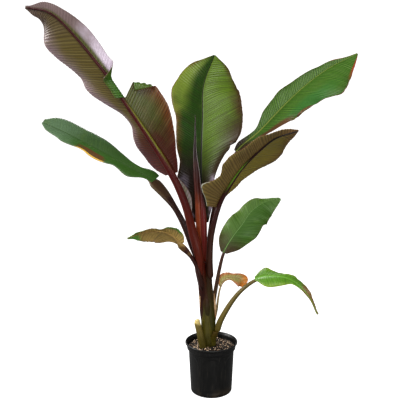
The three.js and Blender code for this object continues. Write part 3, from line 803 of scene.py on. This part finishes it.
leafFive = {  # left, seen from above
    'name': 'leaf_5',
    'petiole': [(-0.048, -0.02, 0.555), (-0.076, -0.03, 0.675), (-0.12, -0.032, 0.788),
                (-0.175, -0.022, 0.878), (-0.247, -0.006, 0.955)],
    'midrib': [(-0.335, 0.025, 1.005), (-0.435, 0.05, 1.055), (-0.54, 0.075, 1.105), (-0.64, 0.095, 1.155),
               (-0.75, 0.11, 1.205)],
    'up': [(0.15, -0.55, 0.8), (0.15, -0.55, 0.8)], 'stalk': (0.016, 0.01, 0.002),
    'left': {'width': [0.018, 0.02, 0.028, 0.044, 0.056, 0.054, 0.046, 0.042, 0.05, 0.055, 0.055, 0.052,
                       0.044, 0.044, 0.049, 0.053, 0.052, 0.044, 0.04, 0.032, 0.01],
             'fold': [(0, -20), (0, -20)], 'waves': (3, 0.002, 0.3)},
    'right': {'width': [0.036, 0.04, 0.036, 0.024, 0.022, 0.025, 0.033, 0.041, 0.049, 0.056, 0.062, 0.066,
                        0.069, 0.07, 0.069, 0.069, 0.067, 0.066, 0.062, 0.05, 0.02],
              'fold': [(16, 6), (16, 6)], 'waves': (3, 0.002, 0.8)},
    'rows': 330, 'columns': 22, 'footTaper': 0.12, 'wing': (0.27, 0.43, 1.8, 0.05), 'ragged': 0.0015,
    'ripple': 0.00012,
    'upper': {'left': (48, 82, 26), 'right': (54, 78, 42), 'edge': (66, 90, 58), 'tip': (84, 106, 80),
              'tipFrom': (0.6, 0.9), 'ribLine': (56, 84, 34), 'streak': 0.12, 'ribGlow': (52, 80, 34),
              'foot': (44, 76, 16), 'footTo': (0.2, 0.5), 'ribShade': 0.14, 'relief': 0.08, 'patches': [
                  {'along': (0.4, 0.44, 0.6, 0.66), 'out': (0.42, 0.5), 'side': 0, 'tint': (84, 58, 28)},
                  {'along': (0.4, 0.44, 0.6, 0.66), 'out': (0.84, 0.9), 'side': 0, 'tint': (186, 150, 50)}]},
    'stalkLook': {'foot': (44, 17, 11), 'mid': (44, 18, 13), 'tip': (78, 60, 38), 'tipFrom': (0.28, 0.42)},
}
leafSix = {  # small, left, seen from below
    'name': 'leaf_6',
    'petiole': [(-0.038, -0.03, 0.47), (-0.048, -0.042, 0.545), (-0.065, -0.05, 0.6),
                (-0.095, -0.065, 0.65), (-0.13, -0.08, 0.69)],
    'midrib': [(-0.16, -0.095, 0.73), (-0.2, -0.12, 0.755), (-0.245, -0.15, 0.76), (-0.295, -0.17, 0.755),
               (-0.34, -0.19, 0.74)],
    'up': [(0.1, 0.92, 0.35), (0.1, 0.92, 0.35)], 'stalk': (0.012, 0.007, 0.002),
    'left': {'width': [0.018, 0.034, 0.042, 0.052, 0.036, 0.016, 0.028, 0.04, 0.034, 0.024, 0.004],
             'fold': [(10, 0), (-40, -90)]},
    'right': {'width': [0.008, 0.028, 0.062, 0.076, 0.074, 0.065, 0.056, 0.056, 0.046, 0.018, 0.005],
              'fold': [(10, 0), (10, 0)]},
    'rows': 170, 'columns': 22, 'ragged': 0.003, 'ripple': 0.0006, 'slot': 'dry_leaf',
    'curls': [{'a': (0.34, 1.0), 'b': (0.94, 1.0), 'radius': 0.004, 'turn': 165, 'way': -1}],
    'under': {'left': (178, 152, 92), 'right': (166, 140, 82), 'edge': (184, 150, 96), 'tip': (84, 136, 54),
              'tipFrom': (0.72, 0.84), 'ribShade': 0.4, 'wax': 0.06, 'patches': [
                  {'along': (0.06, 0.2, 0.5, 0.62), 'out': (0.6, 0.8), 'side': 0, 'tint': (88, 136, 56)}]},
    'upper': {'left': (92, 140, 62), 'edge': (104, 150, 76)},
    'wing': (0.3, 0.43, 1.2, 0.06),
    'stalkLook': {'mid': (56, 26, 22), 'tip': (142, 116, 66), 'tipFrom': (0.34, 0.44)},
}
leafSeven = {  # small and upright, right
    'name': 'leaf_7',
    'petiole': [(0, 0.024, 0.3), (0.008, 0.038, 0.4), (0.02, 0.048, 0.475), (0.035, 0.058, 0.55),
                (0.055, 0.07, 0.62)],
    'midrib': [(0.095, 0.09, 0.685), (0.14, 0.11, 0.74), (0.185, 0.13, 0.8), (0.245, 0.14, 0.84),
               (0.32, 0.15, 0.855)],
    'up': [(-0.3, -0.85, 0.4), (-0.3, -0.85, 0.4)], 'stalk': (0.011, 0.007, 0.002),
    'left': {'width': [0.014, 0.046, 0.064, 0.07, 0.062, 0.058, 0.048, 0.038, 0.024, 0.014, 0.004],
             'fold': [(12, 0), (12, 0)], 'waves': (3, 0.012, 0.3)},
    'right': {'width': [0.018, 0.058, 0.082, 0.09, 0.092, 0.095, 0.097, 0.093, 0.076, 0.05, 0.006],
              'fold': [(12, 0), (12, 0)], 'waves': (4, 0.012, 0.8)},
    'rows': 220, 'columns': 26, 'ragged': 0.004, 'ripple': 0.00025,
    'upper': {'left': (72, 102, 30), 'right': (54, 86, 20), 'edge': (84, 106, 40),
              'edgeRight': (58, 82, 20), 'foot': (62, 36, 28), 'footTo': (0.0, 0.3),
              'ribLine': (104, 134, 72), 'ribGlow': (52, 84, 28), 'ribWide': (0.05, 0.12),
              'tip': (92, 118, 66), 'tipFrom': (0.72, 1.0), 'wax': 0.04, 'relief': 0.1, 'shine': 0.25,
              'gloss': 0.44, 'streak': 0.5, 'veinTint': (96, 128, 70)},
    'stalkLook': {'foot': (72, 60, 34), 'mid': (64, 38, 26), 'tip': (84, 96, 56)},
}
leafEight = {  # lower right, drooping, with a dry tip
    'name': 'leaf_8',
    'petiole': [(0.016, -0.022, 0.25), (0.038, -0.044, 0.345), (0.072, -0.07, 0.425),
                (0.118, -0.097, 0.495), (0.182, -0.12, 0.55)],
    'midrib': [(0.24, -0.145, 0.57), (0.305, -0.17, 0.57), (0.36, -0.185, 0.54), (0.405, -0.19, 0.485),
               (0.435, -0.19, 0.42)],
    'up': [(0.1, -0.5, 0.85), (0.1, -0.5, 0.85)], 'stalk': (0.015, 0.007, 0.002),
    'left': {'width': [0.014, 0.05, 0.042, 0.032, 0.018, 0.032, 0.036, 0.02, 0.012, 0.018, 0.008],
             'fold': [(5, -10), (5, -20)], 'waves': (3, 0.007, 0.1)},
    'right': {'width': [0.008, 0.038, 0.054, 0.052, 0.04, 0.018, 0.012, 0.009, 0.006, 0.005, 0.003],
              'fold': [(5, -40), (5, -40)]},
    'rows': 220, 'columns': 20, 'ragged': 0.003, 'ripple': 0.0003,
    'upper': {'left': (84, 128, 28), 'edge': (120, 146, 38), 'tip': (118, 82, 50), 'tipFrom': (0.58, 0.7),
              'streak': 0.15, 'wax': 0.08, 'rim': (206, 200, 84), 'ribLine': (92, 142, 48),
              'ribGlow': (120, 170, 66)},
    'under': {'left': (104, 142, 40), 'edge': (124, 148, 44), 'tip': (112, 84, 58), 'tipFrom': (0.56, 0.72)},
    'stalkLook': {'foot': (92, 82, 36), 'mid': (96, 84, 42), 'tip': (112, 138, 56), 'streak': (64, 50, 26),
                  'midFrom': (0.05, 0.3)},
}
leafNine = {  # small and dried, behind
    'name': 'leaf_9',
    'petiole': [(0.002, 0.03, 0.26), (0.014, 0.042, 0.315), (0.025, 0.05, 0.365), (0.032, 0.06, 0.415),
                (0.042, 0.07, 0.46)],
    'midrib': [(0.06, 0.075, 0.49), (0.085, 0.085, 0.5), (0.12, 0.095, 0.495), (0.145, 0.1, 0.48),
               (0.155, 0.1, 0.45)],
    'up': [(0, -0.6, 0.8), (0, -0.6, 0.8)], 'stalk': (0.007, 0.004, 0.0015),
    'left': {'width': [0.008, 0.02, 0.032, 0.035, 0.026, 0.022, 0.023, 0.029, 0.032, 0.016, 0.004],
             'fold': [(10, 0), (10, 0)]},
    'right': {'width': [0.005, 0.006, 0.009, 0.013, 0.02, 0.034, 0.046, 0.046, 0.04, 0.03, 0.008],
              'fold': [(10, -10), (10, -10)]},
    'rows': 120, 'columns': 18, 'ragged': 0.003, 'ripple': 0.0003, 'slot': 'dry_leaf',
    'upper': {'left': (160, 146, 92), 'edge': (178, 108, 78), 'edgeFrom': (0.3, 0.9), 'tip': (214, 124, 44),
              'tipFrom': (0.6, 0.9), 'ribLine': (140, 110, 74), 'ribGlow': (150, 126, 90),
              'rim': (178, 116, 70), 'rimShare': 0.3},
    'stalkLook': {'foot': (150, 132, 92), 'mid': (160, 140, 100), 'tip': (140, 110, 80)},
}

leaves = [leafOne, leafTwo, leafThree, leafFour, leafFive, leafSix, leafSeven, leafEight, leafNine]
for given in leaves:
    leaf = {**leafHabit, **given}
    run = leafRun(leaf)
    makeStalk(leaf, run)
    makeBlade(leaf, run)
    print('stage:', leaf['name'])


def makeRod(name, rows, slot, nodes, finish, along=140, around=48, lobes=0.0):
    piece, share, turn = addGrid(name, along, around)
    angle = turn * math.pi
    table = np.array([row if len(row) == 5 else (*row, row[3]) for row in rows])
    spine = curveThrough(table, share)
    ends = np.minimum(smoothStep(-0.0001, 0.01, share), 1 - smoothStep(0.975, 1.0001, share))
    swell = 1 + lobes * np.sin(3 * angle + share * 4) + 0.5 * lobes * np.sin(7 * angle + 1)
    spots = np.stack([
        spine[:, 0] + spine[:, 3] * ends * swell * np.cos(angle),
        spine[:, 1] + spine[:, 4] * ends * swell * np.sin(angle),
        spine[:, 2],
    ], 1)
    place(piece, spots)
    mapRound(piece, spine[:, 2], 0.2)
    stain(piece, 'stalkPlace', share, (np.sin(angle) + 1) / 2, (np.cos(angle) + 1) / 2)
    sealSeam(piece)
    finishPiece(piece, slot, nodes, finish)


stem = {
    'rows': [(-0.010, 0.002, 0.120, 0.026, 0.026), (-0.012, 0.002, 0.200, 0.033, 0.033),
             (-0.014, 0, 0.260, 0.032, 0.031), (-0.018, 0, 0.360, 0.030, 0.029),
             (-0.024, 0, 0.470, 0.028, 0.027), (-0.033, 0, 0.560, 0.025, 0.024),
             (-0.036, 0, 0.620, 0.019, 0.017), (-0.038, 0, 0.660, 0.009, 0.008)],
    'look': {'foot': (30, 26, 4), 'mid': (76, 70, 14), 'tip': (42, 15, 8), 'streak': (34, 26, 8),
             'midFrom': (0.05, 0.4), 'tipFrom': (0.42, 0.66)},
}
makeRod('pseudostem', stem['rows'], 'stem', ['pseudostem'], stalkFinish('stemFinish', stem['look']), 200,
        60, 0.02)


def makeSheath(name, foot, half, lowest, lean, look, top=0.9, reach=0.34, wide=0.8):
    # a stalk's foot widening down the pseudostem until it lies in it
    table = np.array(stem['rows'])
    heights = np.linspace(foot[2], lowest, 14)
    rows = []
    for k, z in enumerate(heights):
        share = k / (len(heights) - 1)
        core = [np.interp(z, table[:, 2], table[:, n]) for n in (0, 1, 3, 4)]
        settle = smoothStep(0.0, 0.62, share)
        sink = 1 - 0.16 * smoothStep(0.72, 1.0, share)
        away = (math.cos(math.radians(lean)), math.sin(math.radians(lean)))
        x = foot[0] * (1 - settle) + (core[0] + away[0] * core[2] * reach * sink) * settle
        y = foot[1] * (1 - settle) + (core[1] + away[1] * core[3] * reach * sink) * settle
        a = half * top * (1 - settle) + core[2] * wide * sink * settle
        b = half * top * (1 - settle) + core[3] * wide * sink * settle
        rows.append((x, y, z, a, b))
    rows.reverse()
    makeRod(name, rows, 'stem', ['pseudostem'], stalkFinish(name, look), 130, 44)


darkSheath = {'foot': (42, 24, 9), 'mid': (44, 16, 9), 'tip': (58, 17, 10), 'streak': (24, 8, 5)}
oliveSheath = {'foot': (48, 42, 10), 'mid': (76, 70, 18), 'tip': (72, 58, 18), 'streak': (38, 28, 10)}
sheaths = [
    ('sheathFive', (-0.062, -0.026, 0.62), 0.016, 0.36, 175, darkSheath, {}),
    ('sheathSix', (-0.047, -0.038, 0.54), 0.012, 0.31, 200, darkSheath, {}),
    ('sheathOne', (-0.044, -0.042, 0.61), 0.02, 0.33, 262,
     {**darkSheath, 'foot': (46, 42, 10), 'mid': (56, 28, 8), 'tip': (80, 24, 10), 'midFrom': (0.1, 0.5)},
     {}),
    ('sheathFour', (-0.0125, -0.032, 0.60), 0.0155, 0.25, 340,
     {**darkSheath, 'foot': (60, 58, 12), 'mid': (54, 42, 12), 'tip': (44, 16, 10), 'midFrom': (0.2, 0.6)},
     {'top': 1.02, 'reach': 0.42, 'wide': 0.8}),
    ('sheathSeven', (0.006, 0.026, 0.37), 0.011, 0.2, 40, {**darkSheath, 'foot': (70, 62, 26)}, {}),
    ('sheathEight', (0.018, -0.026, 0.285), 0.015, 0.19, 330, oliveSheath, {'reach': 0.5, 'wide': 0.62}),
    ('sheathLow', (-0.031, -0.027, 0.43), 0.003, 0.19, 235,
     {**oliveSheath, 'foot': (34, 32, 8), 'tip': (52, 48, 12)}, {'reach': 0.42, 'wide': 0.7}),
]
for name, foot, half, lowest, lean, look, extra in sheaths:
    makeSheath(name, foot, half, lowest, lean, look, **extra)
heart = [(-0.030, 0.000, 0.500, 0.020, 0.020), (-0.033, 0.000, 0.580, 0.024, 0.022),
         (-0.033, 0.000, 0.630, 0.019, 0.018), (-0.032, 0.000, 0.670, 0.012, 0.012),
         (-0.032, 0.000, 0.700, 0.003, 0.003)]
makeRod('sheathHeart', heart, 'stem', ['pseudostem'],
        stalkFinish('sheathHeart', {**darkSheath, 'foot': (58, 20, 12), 'mid': (64, 20, 13)}), 70, 40)

spear = {
    'rows': [(-0.040, 0.002, 0.640, 0.014), (-0.050, 0, 0.760, 0.018), (-0.057, 0, 0.880, 0.0155),
             (-0.064, 0.002, 0.980, 0.014), (-0.071, 0.004, 1.070, 0.008), (-0.070, 0.006, 1.160, 0.0035),
             (-0.069, 0.008, 1.238, 0.0012)],
    'look': {'foot': (128, 58, 24), 'mid': (70, 26, 18), 'tip': (30, 10, 10), 'streak': (44, 12, 10),
             'midFrom': (0.18, 0.4), 'tipFrom': (0.4, 0.66), 'line': (222, 206, 214), 'lineAt': (0.9, 0.97),
             'lineFrom': (0.1, 0.2)},
}
makeRod('spear', spear['rows'], 'young_leaf', ['spear'], stalkFinish('spearFinish', spear['look']), 140, 36)

young = {
    'rows': [(-0.031, -0.004, 0.560, 0.006), (-0.030, -0.018, 0.630, 0.0095),
             (-0.031, -0.024, 0.720, 0.012), (-0.034, -0.024, 0.810, 0.012), (-0.040, -0.022, 0.880, 0.007),
             (-0.045, -0.022, 0.930, 0.0012)],
    'look': {'foot': (100, 34, 16), 'mid': (88, 22, 18), 'tip': (44, 16, 14), 'streak': (60, 16, 14)},
}
makeRod('young_sheath', young['rows'], 'young_leaf', ['young_sheath'],
        stalkFinish('youngFinish', young['look']), 90, 30)

stub = {
    'rows': [(-0.036, -0.026, 0.196, 0.017), (-0.045, -0.031, 0.250, 0.0165),
             (-0.056, -0.034, 0.300, 0.015), (-0.062, -0.035, 0.326, 0.0135),
             (-0.061, -0.036, 0.343, 0.009)],
    'look': {'foot': (74, 68, 26), 'mid': (104, 92, 46), 'tip': (196, 176, 112), 'streak': (82, 62, 30),
             'midFrom': (0.2, 0.6), 'tipFrom': (0.62, 0.8), 'groove': (104, 92, 46)},
}
makeRod('stub', stub['rows'], 'cut_stub', ['stub'], stalkFinish('stubFinish', stub['look']), 70, 30)

dryStrips = {  # thin dried sheath edges, each as points down its middle, with its half width
    'left': ([(-0.052, -0.018, 0.505), (-0.0535, -0.021, 0.470), (-0.051, -0.024, 0.430),
              (-0.049, -0.024, 0.385)],
             0.0026),
    'right': ([(0.012, -0.012, 0.455), (0.0155, -0.014, 0.415), (0.018, -0.014, 0.375),
               (0.020, -0.012, 0.335)],
              0.0045),
}
dryFinish = stalkFinish('dryFinish', {'foot': (150, 120, 86), 'mid': (186, 158, 124), 'tip': (130, 92, 60),
                                      'streak': (130, 96, 70)})
for name, (points, half) in dryStrips.items():
    piece, share, side = addGrid('dry_strip_' + name, 60, 8)
    spine = curveThrough(points, share)
    slim = half * np.sin(np.pi * np.clip(share, 0.02, 0.98)) ** 0.6
    turn = 0.8 * wobble(share * 7, 4)
    place(piece, spine + np.stack([side * slim * np.cos(turn), side * slim * np.sin(turn) - 0.002 * side**2,
                                   0.001 * wobble(share * 40 + side, 8)], 1))
    mapOver(piece, spine[:, 2], side * half)
    stain(piece, 'stalkPlace', share, np.abs(side) * 0.3, (side + 1) / 2)
    skin = piece.modifiers.new('skin', 'SOLIDIFY')
    skin.thickness = 0.0006
    applyAll(piece)
    finishPiece(piece, 'dry_leaf', [], dryFinish)
print('stage: stem')


pot = {
    'profile': [(0.0, 0.0030), (0.060, 0.0030), (0.0840, 0.0028), (0.0855, 0.0004), (0.0870, 0.0),
                (0.0905, 0.0),
                (0.0922, 0.0012), (0.0930, 0.0040), (0.0945, 0.0330), (0.0976, 0.1000), (0.1006, 0.1640),
                (0.1018, 0.1900), (0.1024, 0.1952), (0.1040, 0.1972), (0.1070, 0.1980), (0.1086, 0.1992),
                (0.1092, 0.2012), (0.1100, 0.2160), (0.1106, 0.2188), (0.1130, 0.2200), (0.1156, 0.2210),
                (0.1172, 0.2236), (0.1176, 0.2262), (0.1168, 0.2288), (0.1150, 0.2300), (0.1132, 0.2296),
                (0.1120, 0.2276), (0.1100, 0.2236), (0.1078, 0.2190), (0.1060, 0.2010), (0.1030, 0.1986),
                (0.0996, 0.1975), (0.0950, 0.1000), (0.0906, 0.0080), (0.0890, 0.0048), (0.0850, 0.0040),
                (0.040, 0.0040), (0.0, 0.0040)],
    'panels': 6, 'panelHalf': 23.0, 'panelTurn': -90.0, 'panelFrom': 0.016, 'panelTop': 0.184,
    'sunk': 0.0013,
    'flutes': 66, 'fluteDeep': 0.0005,
    'holes': 8, 'holeSize': (0.016, 0.016, 0.010), 'holeAt': (0.0926, 0.0082), 'holeRound': 0.0022,
}


def revolve(name, profile, along, around, shift=None):  # turns an outline into a closed round piece
    piece, share, turn = addGrid(name, along, around)
    outline = np.array(profile)
    steps = np.concatenate([[0], np.cumsum(np.linalg.norm(np.diff(outline, axis=0), axis=1) ** 0.6)])
    steps /= steps[-1]
    radius = np.interp(share, steps, outline[:, 0])
    height = np.interp(share, steps, outline[:, 1])
    angle = turn * math.pi
    if shift is not None:
        radius, height = shift(radius, height, angle, share)
    place(piece, np.stack([radius * np.cos(angle), radius * np.sin(angle), height], 1))
    mapRound(piece, share * 0.6, 0.34)
    sealSeam(piece)
    return piece


def potWall(radius, height, angle, share):
    outside = (share < 0.5) & (radius > 0.0928)
    step = 2 * math.pi / pot['panels']
    off = (angle - math.radians(pot['panelTurn']) + step / 2) % step - step / 2
    half = math.radians(pot['panelHalf'])
    archDrop = pot['panelTop'] - 0.9 * half * 0.1 * (1 - np.sqrt(np.clip(1 - (off / half) ** 2, 0, 1)))
    inPanel = (1 - smoothStep(half * 0.94, half, np.abs(off))) * smoothStep(0, 0.004,
                                                                            height - pot['panelFrom'])
    inPanel = inPanel * (1 - smoothStep(-0.003, 0.0, height - archDrop))
    fluted = (1 - inPanel) * smoothStep(half, half * 1.06, np.abs(off)) * (
        smoothStep(0.012, 0.02, height) * (1 - smoothStep(0.176, 0.186, height)))
    carve = pot['sunk'] * inPanel + pot['fluteDeep'] * fluted * (1 + np.cos(angle * pot['flutes']))
    return np.where(outside & (height < 0.194), radius - carve, radius), height


potPiece = revolve('pot', pot['profile'], 190, 432, potWall)
only(potPiece)
cutters = []
for k in range(pot['holes']):
    angle = (k + 0.5) / pot['holes'] * 2 * math.pi
    radius, height = pot['holeAt']
    middle = (radius * math.cos(angle), radius * math.sin(angle), height)
    bpy.ops.mesh.primitive_cube_add(size=1, location=middle, rotation=(0, 0, angle))
    cutter = bpy.context.object
    cutter.scale = pot['holeSize']
    bevel = cutter.modifiers.new('round', 'BEVEL')
    bpy.ops.object.transform_apply(location=False, rotation=False, scale=True)
    bevel.width = pot['holeRound']
    bevel.segments = 3
    applyAll(cutter)
    cutters.append(cutter)
bpy.ops.object.select_all(action='DESELECT')
for cutter in cutters:
    cutter.select_set(True)
bpy.context.view_layer.objects.active = cutters[0]
bpy.ops.object.join()
drain = bpy.context.object
opening = potPiece.modifiers.new('drain', 'BOOLEAN')
opening.object = drain
opening.solver = 'EXACT'
applyAll(potPiece)
bpy.ops.object.select_all(action='DESELECT')
drain.select_set(True)
bpy.ops.object.delete()


def potPlastic():
    material, tree, shader = startMaterial('potFinish')
    spot = objectSpot(tree)
    haze = noiseOf(tree, spot, 26.0, 5.0, 0.6)
    # long noise stretched up the wall: scuffs in roughness and bump, and pale streaks in colour that are
    # partly scuffs and partly painted highlight along the flutes
    scuffAndSheen = noiseOf(tree, stretched(tree, spot, (160, 160, 14)), 1.0, 5.0, 0.65)
    dust = noiseOf(tree, spot, 11.0, 4.0)
    split = tree.nodes.new('ShaderNodeSeparateXYZ')
    tree.links.new(spot, split.inputs[0])
    colour = mixOf(tree, rangeOf(tree, haze, 0.4, 0.7), tone(8, 8, 7), tone(15, 14, 12))
    # the pale streaks mixed in here are partly scuffs and partly painted highlight on the flutes
    colour = mixOf(tree, rangeOf(tree, scuffAndSheen, 0.56, 0.76, 0.0, 0.6), colour, tone(58, 53, 44))
    low = mathOf(tree, 'MULTIPLY', rangeOf(tree, split.outputs[2], 0.0, 0.05, 1.0, 0.0),
                 rangeOf(tree, dust, 0.42, 0.66))
    colour = mixOf(tree, mathOf(tree, 'MULTIPLY', low, 0.5), colour, tone(74, 62, 46))
    tree.links.new(colour, shader.inputs['Base Color'])
    tree.links.new(rangeOf(tree, scuffAndSheen, 0.3, 0.75, 0.34, 0.56), shader.inputs['Roughness'])
    shader.inputs['Specular IOR Level'].default_value = 0.38
    bumpOf(tree, shader, mathOf(tree, 'ADD', haze, mathOf(tree, 'MULTIPLY', scuffAndSheen, 0.5)), 0.16, 0.0008)
    return material


finishPiece(potPiece, 'pot_plastic', ['pot'], potPlastic())

soil = {
    'profile': [(0.0, 0.2120), (0.060, 0.2110), (0.098, 0.2064), (0.1044, 0.2052), (0.1056, 0.2040),
                (0.1050, 0.2012), (0.0986, 0.1966), (0.0896, 0.0046), (0.0, 0.0046)],
    'lumps': 0.0036, 'lightChips': 320, 'darkChips': 240, 'clear': 0.032,
}


def soilLift(x, y):
    layers = ((60, 3.1, 1.0), (190, 7, 0.5), (520, 1, 0.22))
    return soil['lumps'] * sum(high * noise.noise(Vector((x * wide, y * wide, z))) for wide, z,
                               high in layers)


def soilTop(radius, height, angle, share):
    top = (height > 0.2035).astype(float) * (1 - smoothStep(0.099, 0.1045, radius))
    lifts = np.array([soilLift(r * math.cos(a), r * math.sin(a)) for r, a in zip(radius, angle)])
    return radius, height + lifts * top


soilPiece = revolve('soil', soil['profile'], 150, 220, soilTop)


def crumbly(name, first, second, scale, rough):
    material, tree, shader = startMaterial(name)
    spot = objectSpot(tree)
    coarse = noiseOf(tree, spot, scale, 5.0, 0.65)
    fine = noiseOf(tree, spot, scale * 6, 4.0, 0.7)
    colour = mixOf(tree, rangeOf(tree, coarse, 0.36, 0.66), tone(*first), tone(*second))
    colour = mixOf(tree, rangeOf(tree, fine, 0.5, 0.72, 0.0, 0.4), colour, tone(*[c * 0.6 for c in first]))
    tree.links.new(colour, shader.inputs['Base Color'])
    shader.inputs['Roughness'].default_value = rough
    bumpOf(tree, shader, fine, 0.6, 0.0012)
    return material


soilFinish = crumbly('soilFinish', (16, 11, 7), (34, 23, 14), 90.0, 0.9)
finishPiece(soilPiece, 'potting_mix', ['soil'], soilFinish)

chipKinds = {
    'lightChips': {'count': soil['lightChips'], 'sizes': (0.0012, 0.0036), 'flat': (1.0, 0.7, 0.5),
                   'seed': 11,
                   'tones': ((226, 204, 176), (166, 130, 100)), 'lift': 0.0006},
    'darkChips': {'count': soil['darkChips'], 'sizes': (0.0016, 0.0045), 'flat': (1.3, 0.6, 0.4), 'seed': 23,
                  'tones': ((38, 25, 16), (78, 54, 36)), 'lift': 0.0004},
}
for name, kind in chipKinds.items():
    draw = random.Random(kind['seed'])
    bpy.ops.mesh.primitive_ico_sphere_add(subdivisions=2, radius=1, location=(0, 0, 0))
    model = bpy.context.object
    for vertex in model.data.vertices:
        vertex.co *= 1 + 0.35 * noise.noise(vertex.co * 1.3 + Vector((kind['seed'], 0, 0)))
    copies = []
    while len(copies) < kind['count']:
        radius, angle = 0.100 * math.sqrt(draw.random()), draw.uniform(0, 2 * math.pi)
        x, y = radius * math.cos(angle), radius * math.sin(angle)
        if math.hypot(x + 0.012, y - 0.002) < soil['clear']:
            continue
        size = draw.uniform(*kind['sizes'])
        chip = model.copy()
        chip.data = model.data.copy()
        scene.collection.objects.link(chip)
        base = np.interp(radius, [0, 0.06, 0.098, 0.105], [0.212, 0.211, 0.2064, 0.205])
        chip.location = (x, y, base + soilLift(x, y) + kind['lift'])
        chip.scale = [size * f * draw.uniform(0.75, 1.25) for f in kind['flat']]
        chip.rotation_euler = (draw.uniform(-0.5, 0.5), draw.uniform(-0.5, 0.5), draw.uniform(0, 6.28))
        copies.append(chip)
    bpy.ops.object.select_all(action='DESELECT')
    model.select_set(True)
    bpy.ops.object.delete()
    for chip in copies:
        chip.select_set(True)
    bpy.context.view_layer.objects.active = copies[0]
    bpy.ops.object.join()
    chips = bpy.context.object
    chips.name = chips.data.name = name
    bpy.ops.object.transform_apply(location=True, rotation=True, scale=True)
    finishPiece(chips, 'potting_mix', [], crumbly(name, *kind['tones'], 160.0, 0.85))
print('stage: pot and soil')
